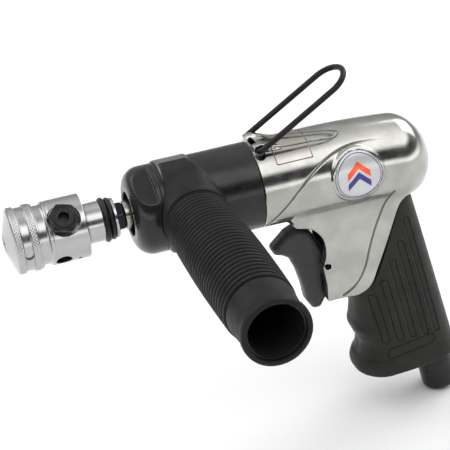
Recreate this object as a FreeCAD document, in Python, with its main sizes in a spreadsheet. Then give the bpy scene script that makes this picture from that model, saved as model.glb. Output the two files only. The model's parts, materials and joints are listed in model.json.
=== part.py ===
"""Pistol-grip pneumatic hammer with a screw-collar tool holder and a swinging side handle.

The row frame has its origin at the mouth of the tool holder's bore. The tool axis is X and the
holder faces -X, +Z is up, and the side handle points to -Y. All sizes are in millimetres.
"""
import FreeCAD, Part
import math
import os
import re

import Sketcher

V = FreeCAD.Vector
X_AXIS = V(1, 0, 0)
Y_AXIS = V(0, 1, 0)
Z_AXIS = V(0, 0, 1)

SIZES = {
    # tool holder, measured along the tool axis from the mouth of its bore
    "bore_radius": 4.0,
    "bore_depth": 30.0,
    "holder_nose_radius": 9.0,
    "holder_nose_length": 1.6,
    "neck_radius": 14.6,
    "holder_front": 15.6,
    "holder_radius": 15.8,
    "holder_rear": 35.1,
    "spigot_radius": 10.0,
    "ring_groove_front": 44.0,
    "ring_groove_rear": 49.6,
    "ring_groove_radius": 8.05,
    "spigot_rear": 51.2,
    "spindle_thread_radius": 4.0,
    "spindle_hole_front": 32.0,
    "large_ring_place": 45.5,
    "large_ring_radius": 9.65,
    "large_ring_section": 1.45,
    "small_ring_place": 48.35,
    "small_ring_radius": 9.3,
    "small_ring_section": 1.2,
    # screw collar
    "collar_rear": 12.0,
    "collar_radius": 16.4,
    "collar_waist_radius": 15.7,
    "collar_tip": 4.2,
    "collar_hole_radius": 4.4,
    "running_gap": 0.06,
    "washer_radius": 8.5,
    "washer_hole_radius": 4.7,
    # set bolt and the second threaded hole, each 45 degrees off the side
    "bolt_place": 24.7,
    "bolt_angle": 44.0,
    "bolt_seat": 13.2,
    "bolt_seat_radius": 8.3,
    "bolt_flats": 13.6,
    "bolt_head_height": 5.0,
    "bolt_thread_radius": 4.0,
    "bolt_point_radius": 1.5,
    "second_hole_place": 21.6,
    "second_hole_angle": 42.0,
    "second_hole_radius": 3.9,
    # spindle, nut and guide
    "nut_rear": 55.3,
    "nut_flats": 13.0,
    "spindle_radius": 5.0,
    "guide_front": 55.4,
    "guide_radius": 7.2,
    "guide_flange": 74.0,
    "guide_rear": 77.0,
    "bumper_rear": 82.0,
    "spindle_flange": 88.1,
    "spindle_flange_radius": 8.5,
    "spindle_tail": 98.0,
    # nose and front housing
    "body_radius": 22.0,
    "nose_front": 58.0,
    "nose_round": 9.0,
    "nose_recess_radius": 11.0,
    "nose_recess_floor": 64.0,
    "nose_rear": 72.0,
    "nose_flat_height": 19.2,
    "housing_rear": 121.6,
    "housing_spigot": 10.0,
    "housing_spigot_radius": 19.95,
    # hammer mechanism
    "barrel_front": 96.0,
    "barrel_rear": 171.0,
    "barrel_radius": 17.0,
    "cylinder_radius": 9.0,
    "piston_front": 98.5,
    "piston_length": 27.5,
    "chest_rear": 181.0,
    "valve_room_radius": 8.0,
    "valve_room_front": 173.4,
    "valve_disc_front": 173.6,
    "valve_disc_thickness": 2.6,
    "cover_rear": 186.0,
    "bore_end": 188.0,
    "plenum_radius": 10.0,
    "plenum_end": 196.0,
    # motor casing and its pistol grip
    "casing_radius": 22.2,
    "cheek_half": 14.2,
    "slot_half": 6.8,
    "slot_rear": 160.0,
    "slot_roof": 23.6,
    "badge_place": 170.0,
    "badge_height": 2.0,
    "badge_radius": 12.2,
    "badge_boss_radius": 14.0,
    "badge_face": 22.6,
    "ear_half": 8.8,
    "ear_thickness": 2.8,
    "grip_lean": 11.0,
    # hanging bail
    "bail_place": 124.4,
    "bail_height": 21.3,
    "bail_half": 11.1,
    "bail_bend": 2.2,
    "bail_wire": 1.5,
    "bail_length": 57.0,
    "bail_angle": 30.6,
    # trigger and throttle
    "pin_place": 153.1,
    "pin_drop": 48.7,
    "pin_radius": 1.5,
    "trigger_half": 6.4,
    "stem_drop": 60.7,
    "stem_radius": 2.0,
    "stem_front": 154.2,
    "throttle_radius": 6.0,
    "throttle_guide_front": 179.0,
    "throttle_guide_rear": 186.0,
    "seat_front": 193.5,
    "seat_rear": 197.0,
    "valve_front": 197.2,
    "valve_rear": 200.0,
    "spring_rear": 205.4,
    "plug_rear": 209.6,
    # air inlet, measured along its own leaning axis
    "inlet_place": 213.0,
    "inlet_drop": 122.0,
    "inlet_radius": 10.0,
    "inlet_length": 24.0,
    "inlet_thread_radius": 6.58,
    "inlet_neck": 14.0,
    "inlet_port_radius": 5.7,
    "inlet_port_depth": 14.0,
    "inlet_passage_radius": 4.0,
    # exhaust in the foot of the grip
    "muffler_place": 184.5,
    "muffler_radius": 7.4,
    "muffler_length": 26.0,
    "foot_drop": 119.0,
    # side handle
    "handle_place": 86.0,
    "strap_front": 74.6,
    "strap_rear": 90.8,
    "strap_inner": 22.08,
    "strap_outer": 22.9,
    "saddle_inner": 22.95,
    "saddle_face": 25.4,
    "saddle_round": 16.6,
    "stud_radius": 4.0,
    "grip_start": 25.7,
    "grip_end": 139.3,
    "grip_bore": 14.0,
    "core_bore": 12.6,
    "core_end": 137.0,
}


def word_cells():
    """The spreadsheet of driving dimensions: plain numbers, one alias each."""
    sheet = DOC.addObject("Spreadsheet::Sheet", "Dims")
    for row, (alias, size) in enumerate(SIZES.items(), start=1):
        sheet.set(f"A{row}", alias)
        sheet.set(f"B{row}", str(size))
        sheet.setAlias(f"B{row}", alias)
    DOC.recompute()
    return sheet


DOC = FreeCAD.newDocument("air_hammer")
SHEET = word_cells()
NODES = {}


def bound(text):
    """An expression in which every size name points at its cell."""
    return re.sub(r"[a-z][a-z_]*", lambda found: "Dims." + found.group(0), str(text))


def size(text):
    """The number that an expression of size names has now."""
    return float(SHEET.evalExpression(bound(text)))


def bind(thing, path, text):
    """Ties one property of an object to the sheet."""
    if re.search("[a-z]", str(text)):
        thing.setExpression(path, bound(text))


def placed(thing, at, direction, along):
    """Puts an object's own `direction` along another and binds its base point."""
    turn = FreeCAD.Rotation(direction, along)
    thing.Placement = FreeCAD.Placement(V(*[size(part) for part in at]), turn)
    for path, part in zip(("x", "y", "z"), at):
        bind(thing, ".Placement.Base." + path, part)
    return thing


def plane_of(body, role):
    """One of a body's own origin planes."""
    return [item for item in body.Origin.OriginFeatures if item.Role == role][0]


def outline_sketch(body, outline):
    """A closed outline of (along, radius) points on the body's XZ plane, bound to the sheet."""
    sketch = body.newObject("Sketcher::SketchObject", "Outline")
    sketch.AttachmentSupport = [(plane_of(body, "XZ_Plane"), "")]
    sketch.MapMode = "FlatFace"
    points = [V(size(along), size(radius), 0) for along, radius in outline]
    count = len(points)
    for index in range(count):
        sketch.addGeometry(Part.LineSegment(points[index], points[(index + 1) % count]), False)
    for index in range(count):
        sketch.addConstraint(Sketcher.Constraint("Coincident", index, 2, (index + 1) % count, 1))
    for index, (along, radius) in enumerate(outline):
        for kind, axis, text in (("DistanceX", -2, along), ("DistanceY", -1, radius)):
            if text == "0":
                sketch.addConstraint(Sketcher.Constraint("PointOnObject", index, 1, axis))
                continue
            number = sketch.addConstraint(
                Sketcher.Constraint(kind, -1, 1, index, 1, size(text)))
            bind(sketch, f"Constraints[{number}]", text)
    return sketch


def ring_edge(shape, along, radius):
    """The name of the round edge of one radius at one place along a turned shape."""
    for number, edge in enumerate(shape.Edges, start=1):
        curve = edge.Curve
        if curve.TypeId != "Part::GeomCircle":
            continue
        if abs(curve.Radius - radius) < 1e-3 and abs(curve.Center.x - along) < 1e-3:
            return f"Edge{number}"
    raise ValueError(f"no round edge at {along}, {radius}")


def turned(name, outline, at=("0", "0", "0"), along=X_AXIS, rounds=(), bevels=()):
    """A PartDesign body revolved about its own X axis, with rounded and bevelled rims."""
    body = DOC.addObject("PartDesign::Body", name)
    sketch = outline_sketch(body, outline)
    DOC.recompute()
    tip = body.newObject("PartDesign::Revolution", name + "_turn")
    tip.Profile = sketch
    tip.ReferenceAxis = (sketch, ["H_Axis"])
    tip.Angle = 360
    DOC.recompute()
    for kind, path, rims in (("Fillet", "Radius", rounds), ("Chamfer", "Size", bevels)):
        for place, radius, amount in rims:
            edge = ring_edge(tip.Shape, size(place), size(radius))
            cut = body.newObject("PartDesign::" + kind, name + "_" + kind.lower())
            cut.Base = (tip, [edge])
            setattr(cut, path, size(amount))
            bind(cut, path, amount)
            body.Tip = cut
            DOC.recompute()
            tip = cut
    return placed(body, at, X_AXIS, along)


def rod(name, radius, length, at, along=Z_AXIS):
    """A Part cylinder from a point along a direction."""
    thing = DOC.addObject("Part::Cylinder", name)
    thing.Radius = size(radius)
    thing.Height = size(length)
    bind(thing, "Radius", radius)
    bind(thing, "Height", length)
    return placed(thing, at, Z_AXIS, along)


def block(name, low, high):
    """A Part box between two corners given as expressions."""
    thing = DOC.addObject("Part::Box", name)
    for path, start, end in zip(("Length", "Width", "Height"), low, high):
        span = f"({end}) - ({start})"
        setattr(thing, path, size(span))
        bind(thing, path, span)
    return placed(thing, low, Z_AXIS, Z_AXIS)


def hexagon(name, flats, length, at, along):
    """A hexagonal prism across the given flats."""
    thing = DOC.addObject("Part::Prism", name)
    thing.Polygon = 6
    thing.Circumradius = size(flats) / math.sqrt(3)
    thing.Height = size(length)
    bind(thing, "Circumradius", f"({flats}) / {math.sqrt(3):.6f}")
    bind(thing, "Height", length)
    return placed(thing, at, Z_AXIS, along)


def torus(name, radius, section, at, along):
    """A round ring of round section."""
    thing = DOC.addObject("Part::Torus", name)
    thing.Radius1 = size(radius)
    thing.Radius2 = size(section)
    bind(thing, "Radius1", radius)
    bind(thing, "Radius2", section)
    return placed(thing, at, Z_AXIS, along)


def fused(name, things):
    """One solid from several that meet."""
    whole = DOC.addObject("Part::MultiFuse", name)
    whole.Shapes = things
    whole.Refine = True
    return whole


def cut_by(name, base, tools):
    """A solid with several others taken out of it, one after another."""
    for tool in tools:
        rest = DOC.addObject("Part::Cut", name)
        rest.Base = base
        rest.Tool = tool
        base = rest
    base.Refine = True
    return base


def shaped(name, shape):
    """A free-form piece whose shape is worked out from the sheet."""
    thing = DOC.addObject("Part::Feature", name)
    thing.Shape = shape
    return thing


def node(name, thing):
    """Lists a finished sub-part under its node name."""
    thing.Label = name
    NODES[name] = thing


def side_direction(degrees):
    """A direction in the YZ plane, measured upward from -Y."""
    angle = math.radians(degrees)
    return V(0, -math.cos(angle), math.sin(angle))


def radial_point(place, direction, radius):
    """The three coordinates, as texts, of a point at a radius from the tool axis."""
    return (place, f"{direction.y:.6f} * ({radius})", f"{direction.z:.6f} * ({radius})")


def spring(name, radius, wire, start, end, turns, drop):
    """A round-wire compression spring about an axis parallel to X."""
    free = size(end) - size(start) - 2 * wire
    helix = Part.makeHelix(free / turns, free, radius)
    section = Part.Wire(Part.makeCircle(wire, V(radius, 0, 0), V(0, 1, 0)))
    coil = Part.Wire(helix.Edges).makePipeShell([section], True, True)
    thing = shaped(name, coil)
    thing.Placement = FreeCAD.Placement(
        V(size(start) + wire, 0, -size(drop)), FreeCAD.Rotation(Z_AXIS, X_AXIS))
    return thing


def tool_holder():
    """Holder turned from one bar, with a seat for the set bolt and a second threaded hole."""
    bar = turned("holder_bar", [
        ("0", "bore_radius"), ("0", "holder_nose_radius"),
        ("holder_nose_length", "holder_nose_radius"), ("holder_nose_length", "neck_radius"),
        ("holder_front", "neck_radius"), ("holder_front", "holder_radius"),
        ("holder_rear", "holder_radius"), ("holder_rear", "spigot_radius"),
        ("ring_groove_front", "spigot_radius"), ("ring_groove_front", "ring_groove_radius"),
        ("ring_groove_rear", "ring_groove_radius"), ("ring_groove_rear", "spigot_radius"),
        ("spigot_rear", "spigot_radius"), ("spigot_rear", "spindle_thread_radius + 0.04"),
        ("spindle_hole_front", "spindle_thread_radius + 0.04"), ("spindle_hole_front", "0"),
        ("bore_depth", "0"), ("bore_depth", "bore_radius"),
    ], bevels=[("holder_front", "holder_radius", "0.7"), ("holder_rear", "holder_radius", "0.9")])
    up = side_direction(size("bolt_angle"))
    down = side_direction(-size("second_hole_angle"))
    seat = rod("bolt_seat_cut", "bolt_seat_radius", "8",
               radial_point("bolt_place", up, "bolt_seat"), up)
    thread = rod("bolt_thread_cut", "bolt_thread_radius + 0.05", "12",
                 radial_point("bolt_place", up, "6.6"), up)
    point = rod("bolt_point_cut", "bolt_point_radius + 0.3", "8",
                radial_point("bolt_place", up, "1"), up)
    second = rod("second_hole_cut", "second_hole_radius", "12",
                 radial_point("second_hole_place", down, "6.6"), down)
    small = rod("small_hole_cut", "0.9", "4",
                radial_point("29.6", side_direction(-47), "13"), side_direction(-47))
    node("tool_holder", cut_by("tool_holder_cut", bar, [seat, thread, point, second, small]))


def set_bolt():
    """Hexagon-head bolt with a dog point and a deep round hole in its head."""
    up = side_direction(size("bolt_angle"))
    head = hexagon("bolt_head", "bolt_flats", "bolt_head_height",
                   radial_point("bolt_place", up, "bolt_seat + 0.05"), up)
    ring = rod("bolt_ring", "bolt_flats / 2 - 0.9", "bolt_head_height + 0.4",
               radial_point("bolt_place", up, "bolt_seat + 0.05"), up)
    shank = rod("bolt_shank", "bolt_thread_radius", "bolt_seat - 6",
                radial_point("bolt_place", up, "7"), up)
    point = rod("bolt_point", "bolt_point_radius", "4",
                radial_point("bolt_place", up, "bore_radius + 0.4"), up)
    hole = rod("bolt_hole", "2.7", "6",
               radial_point("bolt_place", up, "bolt_seat + 1.2"), up)
    node("set_bolt", cut_by("bolt_cut", fused("bolt_whole", [head, ring, shank, point]), [hole]))


def screw_collar():
    """Knurled screw collar with a shallow conical face, and the thrust washer behind it."""
    bore = "neck_radius + running_gap"
    cap = turned("collar_turning", [
        ("-collar_tip", "collar_hole_radius"), ("-0.6", "collar_radius - 0.8"),
        ("0", "collar_radius"), ("3.1", "collar_radius"), ("3.4", "collar_waist_radius"),
        ("7.3", "collar_waist_radius"), ("7.6", "collar_radius"), ("10.8", "collar_radius"),
        ("11.0", "collar_radius - 0.4"), ("collar_rear", "collar_radius - 0.4"),
        ("collar_rear", bore), ("1.3", bore), ("1.3", "holder_nose_radius + 0.3"),
        ("-0.3", "holder_nose_radius + 0.3"), ("-0.3", "washer_radius + 0.3"),
        ("-1", "washer_radius + 0.3"), ("-1", "collar_hole_radius"),
    ])
    aim = side_direction(-8.7)
    hole = rod("collar_spanner_hole", "1.8", "6", radial_point("5.4", aim, "12"), aim)
    node("collar_cap", cut_by("collar_cut", cap, [hole]))
    node("thrust_washer", turned("washer_turning", [
        ("-0.9", "washer_hole_radius"), ("-0.9", "washer_radius"),
        ("-0.1", "washer_radius"), ("-0.1", "washer_hole_radius"),
    ]))


def spindle_group():
    """Spindle, its lock nut and the two rubber rings on the holder's spigot."""
    node("spindle", turned("spindle_turning", [
        ("spindle_hole_front + 0.4", "0"), ("spindle_hole_front + 0.4", "spindle_thread_radius"),
        ("nut_rear", "spindle_thread_radius"), ("nut_rear + 0.3", "spindle_radius"),
        ("spindle_flange", "spindle_radius"), ("spindle_flange", "spindle_flange_radius"),
        ("spindle_flange + 3.9", "spindle_flange_radius"), ("spindle_flange + 3.9", "6.5"),
        ("spindle_tail", "6.5"), ("spindle_tail", "0"),
    ]))
    nut = hexagon("nut_block", "nut_flats", "nut_rear - spigot_rear", ("spigot_rear", "0", "0"),
                  X_AXIS)
    hole = rod("nut_hole", "spindle_thread_radius + 0.05", "8", ("spigot_rear - 1", "0", "0"),
               X_AXIS)
    node("lock_nut", cut_by("nut_cut", nut, [hole]))
    for ring in ("large", "small"):
        node(f"o_ring_{ring}", torus(f"{ring}_ring", f"{ring}_ring_radius",
                                     f"{ring}_ring_section", (f"{ring}_ring_place", "0", "0"),
                                     X_AXIS))


def nose_group():
    """Nose cap, front housing, guide sleeve, bumper and spacer, in order from the front."""
    nose = turned("nose_turning", [
        ("nose_front", "nose_recess_radius"), ("nose_front", "body_radius"),
        ("nose_rear", "body_radius"), ("nose_rear", "18.95"), ("bumper_rear", "18.95"),
        ("bumper_rear", "13.5"), ("guide_flange", "13.5"), ("guide_flange", "guide_radius + 0.02"),
        ("nose_recess_floor", "guide_radius + 0.02"), ("nose_recess_floor", "nose_recess_radius"),
    ], rounds=[("nose_front", "body_radius", "nose_round")])
    flats = []
    for side in (0, 180):
        aim = side_direction(60 + side)
        upright = FreeCAD.Rotation(X_AXIS, 30 + side)
        flat = DOC.addObject("Part::Box", "nose_flat")
        flat.Width = 40
        flat.Height = 6
        bind(flat, "Length", "nose_rear - nose_front - 2")
        corner = aim * size("nose_flat_height") - upright.multVec(V(0, 20, 0))
        flat.Placement = FreeCAD.Placement(V(size("nose_front") - 1, 0, 0) + corner, upright)
        flats.append(flat)
    node("nose_cap", cut_by("nose_cut", nose, flats))
    node("front_housing", turned("housing_turning", [
        ("nose_rear", "19"), ("nose_rear", "body_radius"), ("housing_rear", "body_radius"),
        ("housing_rear", "housing_spigot_radius"),
        ("housing_rear + housing_spigot", "housing_spigot_radius"),
        ("housing_rear + housing_spigot", "barrel_radius + 0.05"),
        ("84", "barrel_radius + 0.05"), ("84", "19"),
    ], bevels=[("nose_rear", "body_radius", "0.4")]))
    node("guide_sleeve", turned("guide_turning", [
        ("guide_front", "spindle_radius + running_gap"), ("guide_front", "guide_radius"),
        ("guide_flange", "guide_radius"), ("guide_flange", "12.9"), ("guide_rear", "12.9"),
        ("guide_rear", "spindle_radius + running_gap"),
    ], bevels=[("guide_front", "guide_radius", "0.5")]))
    node("front_bumper", turned("bumper_turning", [
        ("guide_rear + 0.05", "5.5"), ("guide_rear + 0.05", "13.2"), ("bumper_rear", "13.2"),
        ("bumper_rear", "5.5"),
    ]))
    node("buffer_sleeve", turned("buffer_turning", [
        ("84.1", "9.5"), ("84.1", "barrel_radius"), ("barrel_front - 0.1", "barrel_radius"),
        ("barrel_front - 0.1", "9.5"),
    ]))


def hammer_group():
    """Barrel with exhaust ports, piston, valve chest, valve disc, cover and gasket."""
    tube = turned("barrel_turning", [
        ("barrel_front", "cylinder_radius"), ("barrel_front", "barrel_radius"),
        ("132", "barrel_radius"), ("132", "barrel_radius - 1.5"), ("142", "barrel_radius - 1.5"),
        ("142", "barrel_radius"), ("barrel_rear", "barrel_radius"),
        ("barrel_rear", "cylinder_radius"),
    ])
    ports = [rod("barrel_port", "1.5", "12", radial_point("137", side_direction(turn), "7"),
                 side_direction(turn)) for turn in range(30, 390, 60)]
    node("barrel", cut_by("barrel_cut", tube, ports))
    node("piston", turned("piston_turning", [
        ("0", "0"), ("0", "6"), ("1", "cylinder_radius - 0.05"), ("8", "cylinder_radius - 0.05"),
        ("8", "cylinder_radius - 0.6"), ("10", "cylinder_radius - 0.6"),
        ("10", "cylinder_radius - 0.05"), ("piston_length", "cylinder_radius - 0.05"),
        ("piston_length", "5"), ("piston_length - 12", "5"), ("piston_length - 12", "0"),
    ], at=("piston_front", "0", "0")))
    chest = turned("chest_turning", [
        ("barrel_rear + 0.1", "0"), ("barrel_rear + 0.1", "barrel_radius"),
        ("chest_rear", "barrel_radius"), ("chest_rear", "valve_room_radius"),
        ("valve_room_front", "valve_room_radius"), ("valve_room_front", "0"),
    ])
    inlets = [rod("chest_port", "1.1", "5",
                  radial_point("barrel_rear - 1", side_direction(turn), "5"), X_AXIS)
              for turn in range(0, 360, 60)]
    node("valve_chest", cut_by("chest_cut", chest, inlets))
    node("valve_disc", turned("disc_turning", [
        ("valve_disc_front", "1.5"), ("valve_disc_front", "valve_room_radius - 0.4"),
        ("valve_disc_front + valve_disc_thickness", "valve_room_radius - 0.4"),
        ("valve_disc_front + valve_disc_thickness", "1.5"),
    ]))
    node("valve_cover", turned("cover_turning", [
        ("chest_rear - 2", "3"), ("chest_rear - 2", "valve_room_radius - 0.05"),
        ("chest_rear + 0.1", "valve_room_radius - 0.05"), ("chest_rear + 0.1", "barrel_radius"),
        ("cover_rear", "barrel_radius"), ("cover_rear", "3"),
    ]))
    node("rear_gasket", turned("gasket_turning", [
        ("cover_rear + 0.1", "12.5"), ("cover_rear + 0.1", "barrel_radius"),
        ("bore_end - 0.1", "barrel_radius"), ("bore_end - 0.1", "12.5"),
    ]))


def rounded_section(front, rear, half, front_round, rear_round, height):
    """A level closed outline with two front and two rear corners rounded."""
    corners = [(front, -half, front_round), (rear, -half, rear_round),
               (rear, half, rear_round), (front, half, front_round)]
    centre = V((front + rear) / 2, 0, 0)
    edges = []
    ends = []
    for x, y, radius in corners:
        inward_x = math.copysign(radius, centre.x - x)
        inward_y = math.copysign(radius, -y)
        flat = V(x + inward_x, y, height)
        upright = V(x, y + inward_y, height)
        bend = 1 - math.sqrt(0.5)
        middle = V(x + inward_x * bend, y + inward_y * bend, height)
        ends.append((flat, middle, upright))
    order = [(ends[0][2], ends[0][1], ends[0][0]), ends[1],
             (ends[2][2], ends[2][1], ends[2][0]), ends[3]]
    for index, (start, middle, end) in enumerate(order):
        edges.append(Part.Arc(start, middle, end).toShape())
        following = order[(index + 1) % 4][0]
        edges.append(Part.LineSegment(end, following).toShape())
    return Part.Wire(edges)


# Grip sections from the barrel down: height, front, half width. The rear is one leaning line.
GRIP_SECTIONS = (
    (-10.0, 169.0, 13.2), (-30.0, 168.2, 14.6), (-50.0, 168.0, 15.8), (-68.0, 168.3, 16.6),
    (-82.0, 168.9, 17.0), (-89.0, 168.2, 17.0), (-94.0, 167.2, 17.0), (-104.0, 171.0, 17.0),
    (-112.0, 169.6, 17.2), (-117.0, 167.8, 17.6), (-121.6, 168.4, 17.4),
)
FOOT_SCREWS = ("174.4", "197.5")
GRIP_BACK_TOP = 201.3
GRIP_BACK_SLOPE = 0.2125


def grip_loft(inset, rear_inset, bottom):
    """The grip's envelope, moved inward by a wall thickness."""
    wires = []
    for height, front, half in GRIP_SECTIONS:
        level = max(height, bottom)
        rear = GRIP_BACK_TOP - GRIP_BACK_SLOPE * (level + 10.0)
        side = half - inset
        wires.append(rounded_section(front + inset, rear - rear_inset, side, 0.45 * side,
                                     0.8 * side, level))
        if height <= bottom:
            break
    return Part.makeLoft(wires, True, True)


def barrel_loft():
    """The casing's barrel: a cylinder whose closed, rounded rear end droops a little."""
    radius = size("casing_radius")
    rings = ((size("housing_rear"), radius, 0.0), (150.0, radius, 0.0), (170.0, radius, -0.3),
             (185.0, 22.1, -1.0), (195.0, 21.9, -1.6), (200.0, 21.4, -2.2), (204.0, 20.3, -2.8),
             (207.5, 18.2, -3.2), (210.5, 15.0, -3.5), (212.8, 11.0, -3.7), (214.2, 6.5, -3.8),
             (214.8, 2.5, -3.8))
    wires = [Part.Wire(Part.makeCircle(ring, V(place, 0, rise), X_AXIS))
             for place, ring, rise in rings]
    return Part.makeLoft(wires, True, True)


def cheek_solid():
    """The metal side of the grip: the trigger arch in front, the seam to the rubber behind."""
    half = size("cheek_half")
    arch = [V(137.7, 0, -21.1), V(138.5, 0, -23.4), V(146.5, 0, -26.2), V(151.8, 0, -33.0),
            V(152.9, 0, -41.9), V(150.8, 0, -49.2)]
    lower = [V(150.8, 0, -49.2), V(152.1, 0, -60.0), V(151.9, 0, -69.2)]
    seam = [V(161.1, 0, -68.6), V(168.4, 0, -69.0), V(175.5, 0, -65.2), V(180.5, 0, -55.3),
            V(186.2, 0, -41.7), V(193.1, 0, -24.4), V(198.6, 0, -15.6)]
    curves = []
    for points in (arch, lower, seam):
        spline = Part.BSplineCurve()
        spline.interpolate(points)
        curves.append(spline.toShape())
    joins = [Part.makeLine(lower[-1], seam[0]), Part.makeLine(seam[-1], V(196, 0, -8)),
             Part.makeLine(V(196, 0, -8), V(137.7, 0, -8)), Part.makeLine(V(137.7, 0, -8), arch[0])]
    edges = [curves[0], curves[1], joins[0], curves[2], joins[1], joins[2], joins[3]]
    face = Part.Face(Part.Wire(edges))
    face.translate(V(0, -half, 0))
    return face.extrude(V(0, 2 * half, 0))


def inlet_direction():
    """The way out of the air inlet: down and a little to the rear."""
    lean = math.radians(size("grip_lean"))
    return V(math.sin(lean), 0, -math.cos(lean))


def inlet_point(along):
    """The three coordinates of a point on the inlet's axis, as texts."""
    aim = inlet_direction()
    return (f"inlet_place + {aim.x:.6f} * ({along})", "0", f"-inlet_drop + {aim.z:.6f} * ({along})")


def casing_cutters():
    """Everything that is bored, drilled or slotted out of the motor casing."""
    down = inlet_direction()
    top_of_passage = "-(inlet_drop - stem_drop) / 0.9816"
    exhaust = V(-20, 0, 82)
    cutters = [
        rod("housing_thread_cut", "housing_spigot_radius + 0.05", "housing_spigot + 1.1",
            ("housing_rear - 1", "0", "0"), X_AXIS),
        rod("main_bore_cut", "barrel_radius + 0.05", "bore_end - housing_rear",
            ("housing_rear", "0", "0"), X_AXIS),
        rod("plenum_cut", "plenum_radius", "plenum_end - bore_end + 1", ("bore_end - 1", "0", "0"),
            X_AXIS),
        block("trigger_slot_cut", ("130", "-slot_half", "-76"),
              ("slot_rear", "slot_half", "-slot_roof")),
        rod("trigger_pin_cut", "pin_radius + 0.02", "40", ("pin_place", "-20", "-pin_drop"), Y_AXIS),
        rod("stem_cut", "stem_radius + 0.1", "40", ("slot_rear - 1", "0", "-stem_drop"), X_AXIS),
        rod("throttle_cut", "throttle_radius", "50", ("throttle_guide_front", "0", "-stem_drop"),
            X_AXIS),
        rod("outlet_cut", "3.2", "stem_drop - 5", ("190.5", "0", "-stem_drop"), Z_AXIS),
        rod("inlet_passage_cut", "inlet_passage_radius", "(inlet_drop - stem_drop) / 0.9816",
            inlet_point(top_of_passage), down),
        rod("inlet_thread_cut", "inlet_thread_radius + 0.05", "20", inlet_point("-inlet_neck - 2.2"),
            down),
        rod("inlet_face_cut", "inlet_radius + 0.3", "12", inlet_point("-4.2"), down),
        rod("exhaust_cut", "2.5", f"{exhaust.Length:.4f}", ("180", "8", "-94"), exhaust),
        rod("muffler_cut", "muffler_radius + 0.1", "muffler_length + 1",
            ("muffler_place", "0", "-foot_drop - 0.9"), Z_AXIS),
    ]
    for side in (-1, 1):
        cutters.append(badge_shell("badge_recess", "badge_radius + 0.05", "badge_face",
                                   "badge_face + 3", side))
    cutters.append(rod("bail_hole_cut", "bail_wire + 0.08", "30", ("bail_place", "-15",
                                                                  "bail_height"), Y_AXIS))
    for start in ("ear_half", "-ear_half - 4.4"):
        cutters.append(rod("bail_spotface_cut", "bail_wire + 1.7", "4.4",
                           ("bail_place", start, "bail_height"), Y_AXIS))
    cutters.append(rod("ear_scoop_cut", "6.2", "16", ("housing_rear - 1", "0", "27.4"), X_AXIS))
    for place in FOOT_SCREWS:
        cutters.append(rod("screw_hole_cut", "1.25", "9", (place, "0", "-foot_drop - 0.5"), Z_AXIS))
    return cutters


def badge_shell(name, radius, inner, outer, side):
    """Round piece of a tube about the tool's axis, cut out along Y round the badge's middle."""
    plug = rod(f"{name}_plug", radius, "16", ("badge_place", f"{side} * 12", "badge_height"),
               V(0, side, 0))
    drum = rod(f"{name}_drum", outer, "40", ("badge_place - 20", "0", "0"), X_AXIS)
    patch = DOC.addObject("Part::MultiCommon", f"{name}_patch")
    patch.Shapes = [plug, drum]
    core = rod(f"{name}_core", inner, "42", ("badge_place - 21", "0", "0"), X_AXIS)
    return cut_by(f"{name}_shell", patch, [core])


def motor_casing():
    """Cast casing: barrel, trigger cheeks, grip core, badge bosses and bail ears, then bored."""
    ears = block("bail_ears", ("housing_rear + 0.4", "-ear_half", "16"),
                 ("housing_rear + 8", "ear_half", "bail_height + 3"))
    bosses = [badge_shell("badge_boss", "badge_boss_radius", "badge_face - 4", "badge_face + 0.6",
                          side) for side in (-1, 1)]
    body = fused("casing_whole", [
        shaped("casing_barrel", barrel_loft()), shaped("casing_cheeks", cheek_solid()),
        shaped("grip_core", grip_loft(3.0, 2.2, -size("foot_drop"))), ears] + bosses)
    node("motor_casing", cut_by("casing_cut", body, casing_cutters()))


def grip_cover():
    """Rubber cover moulded round the back and foot of the grip."""
    envelope = shaped("cover_envelope", grip_loft(0.0, 0.0, -200.0))
    inlet = rod("cover_inlet_cut", "inlet_radius + 0.4", "30", inlet_point("-6"),
                inlet_direction())
    foot = block("cover_foot_cut", ("172.0", "-13.4", "-125"), ("203.0", "13.4", "-foot_drop"))
    front = shaped("cover_front_cut", front_clearance())
    solids = [shaped("cover_barrel_cut", barrel_loft()), shaped("cover_cheek_cut", cheek_solid()),
              shaped("cover_core_cut", grip_loft(3.0, 2.2, -size("foot_drop"))),
              rod("plug_room_cut", "throttle_radius", "10", ("plug_rear - 9", "0", "-stem_drop"),
                  X_AXIS), inlet, foot, front]
    node("grip_cover", cut_by("cover_cut", envelope, solids))


def front_clearance():
    """The space in front of the seam, over the full width of the rubber."""
    seam = [V(168.4, 0, -69.0), V(175.5, 0, -65.2), V(180.5, 0, -55.3), V(186.2, 0, -41.7),
            V(193.1, 0, -24.4), V(198.6, 0, -15.6)]
    start = V(161.1, 0, -68.6)
    spline = Part.BSplineCurve()
    spline.interpolate([start] + seam)
    corners = [seam[-1], V(199, 0, 0), V(120, 0, 0), V(120, 0, -68.6), start]
    edges = [spline.toShape()]
    edges += [Part.makeLine(corners[step], corners[step + 1]) for step in range(4)]
    face = Part.Face(Part.Wire(edges))
    face.translate(V(0, -30, 0))
    return face.extrude(V(0, 60, 0))


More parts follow.
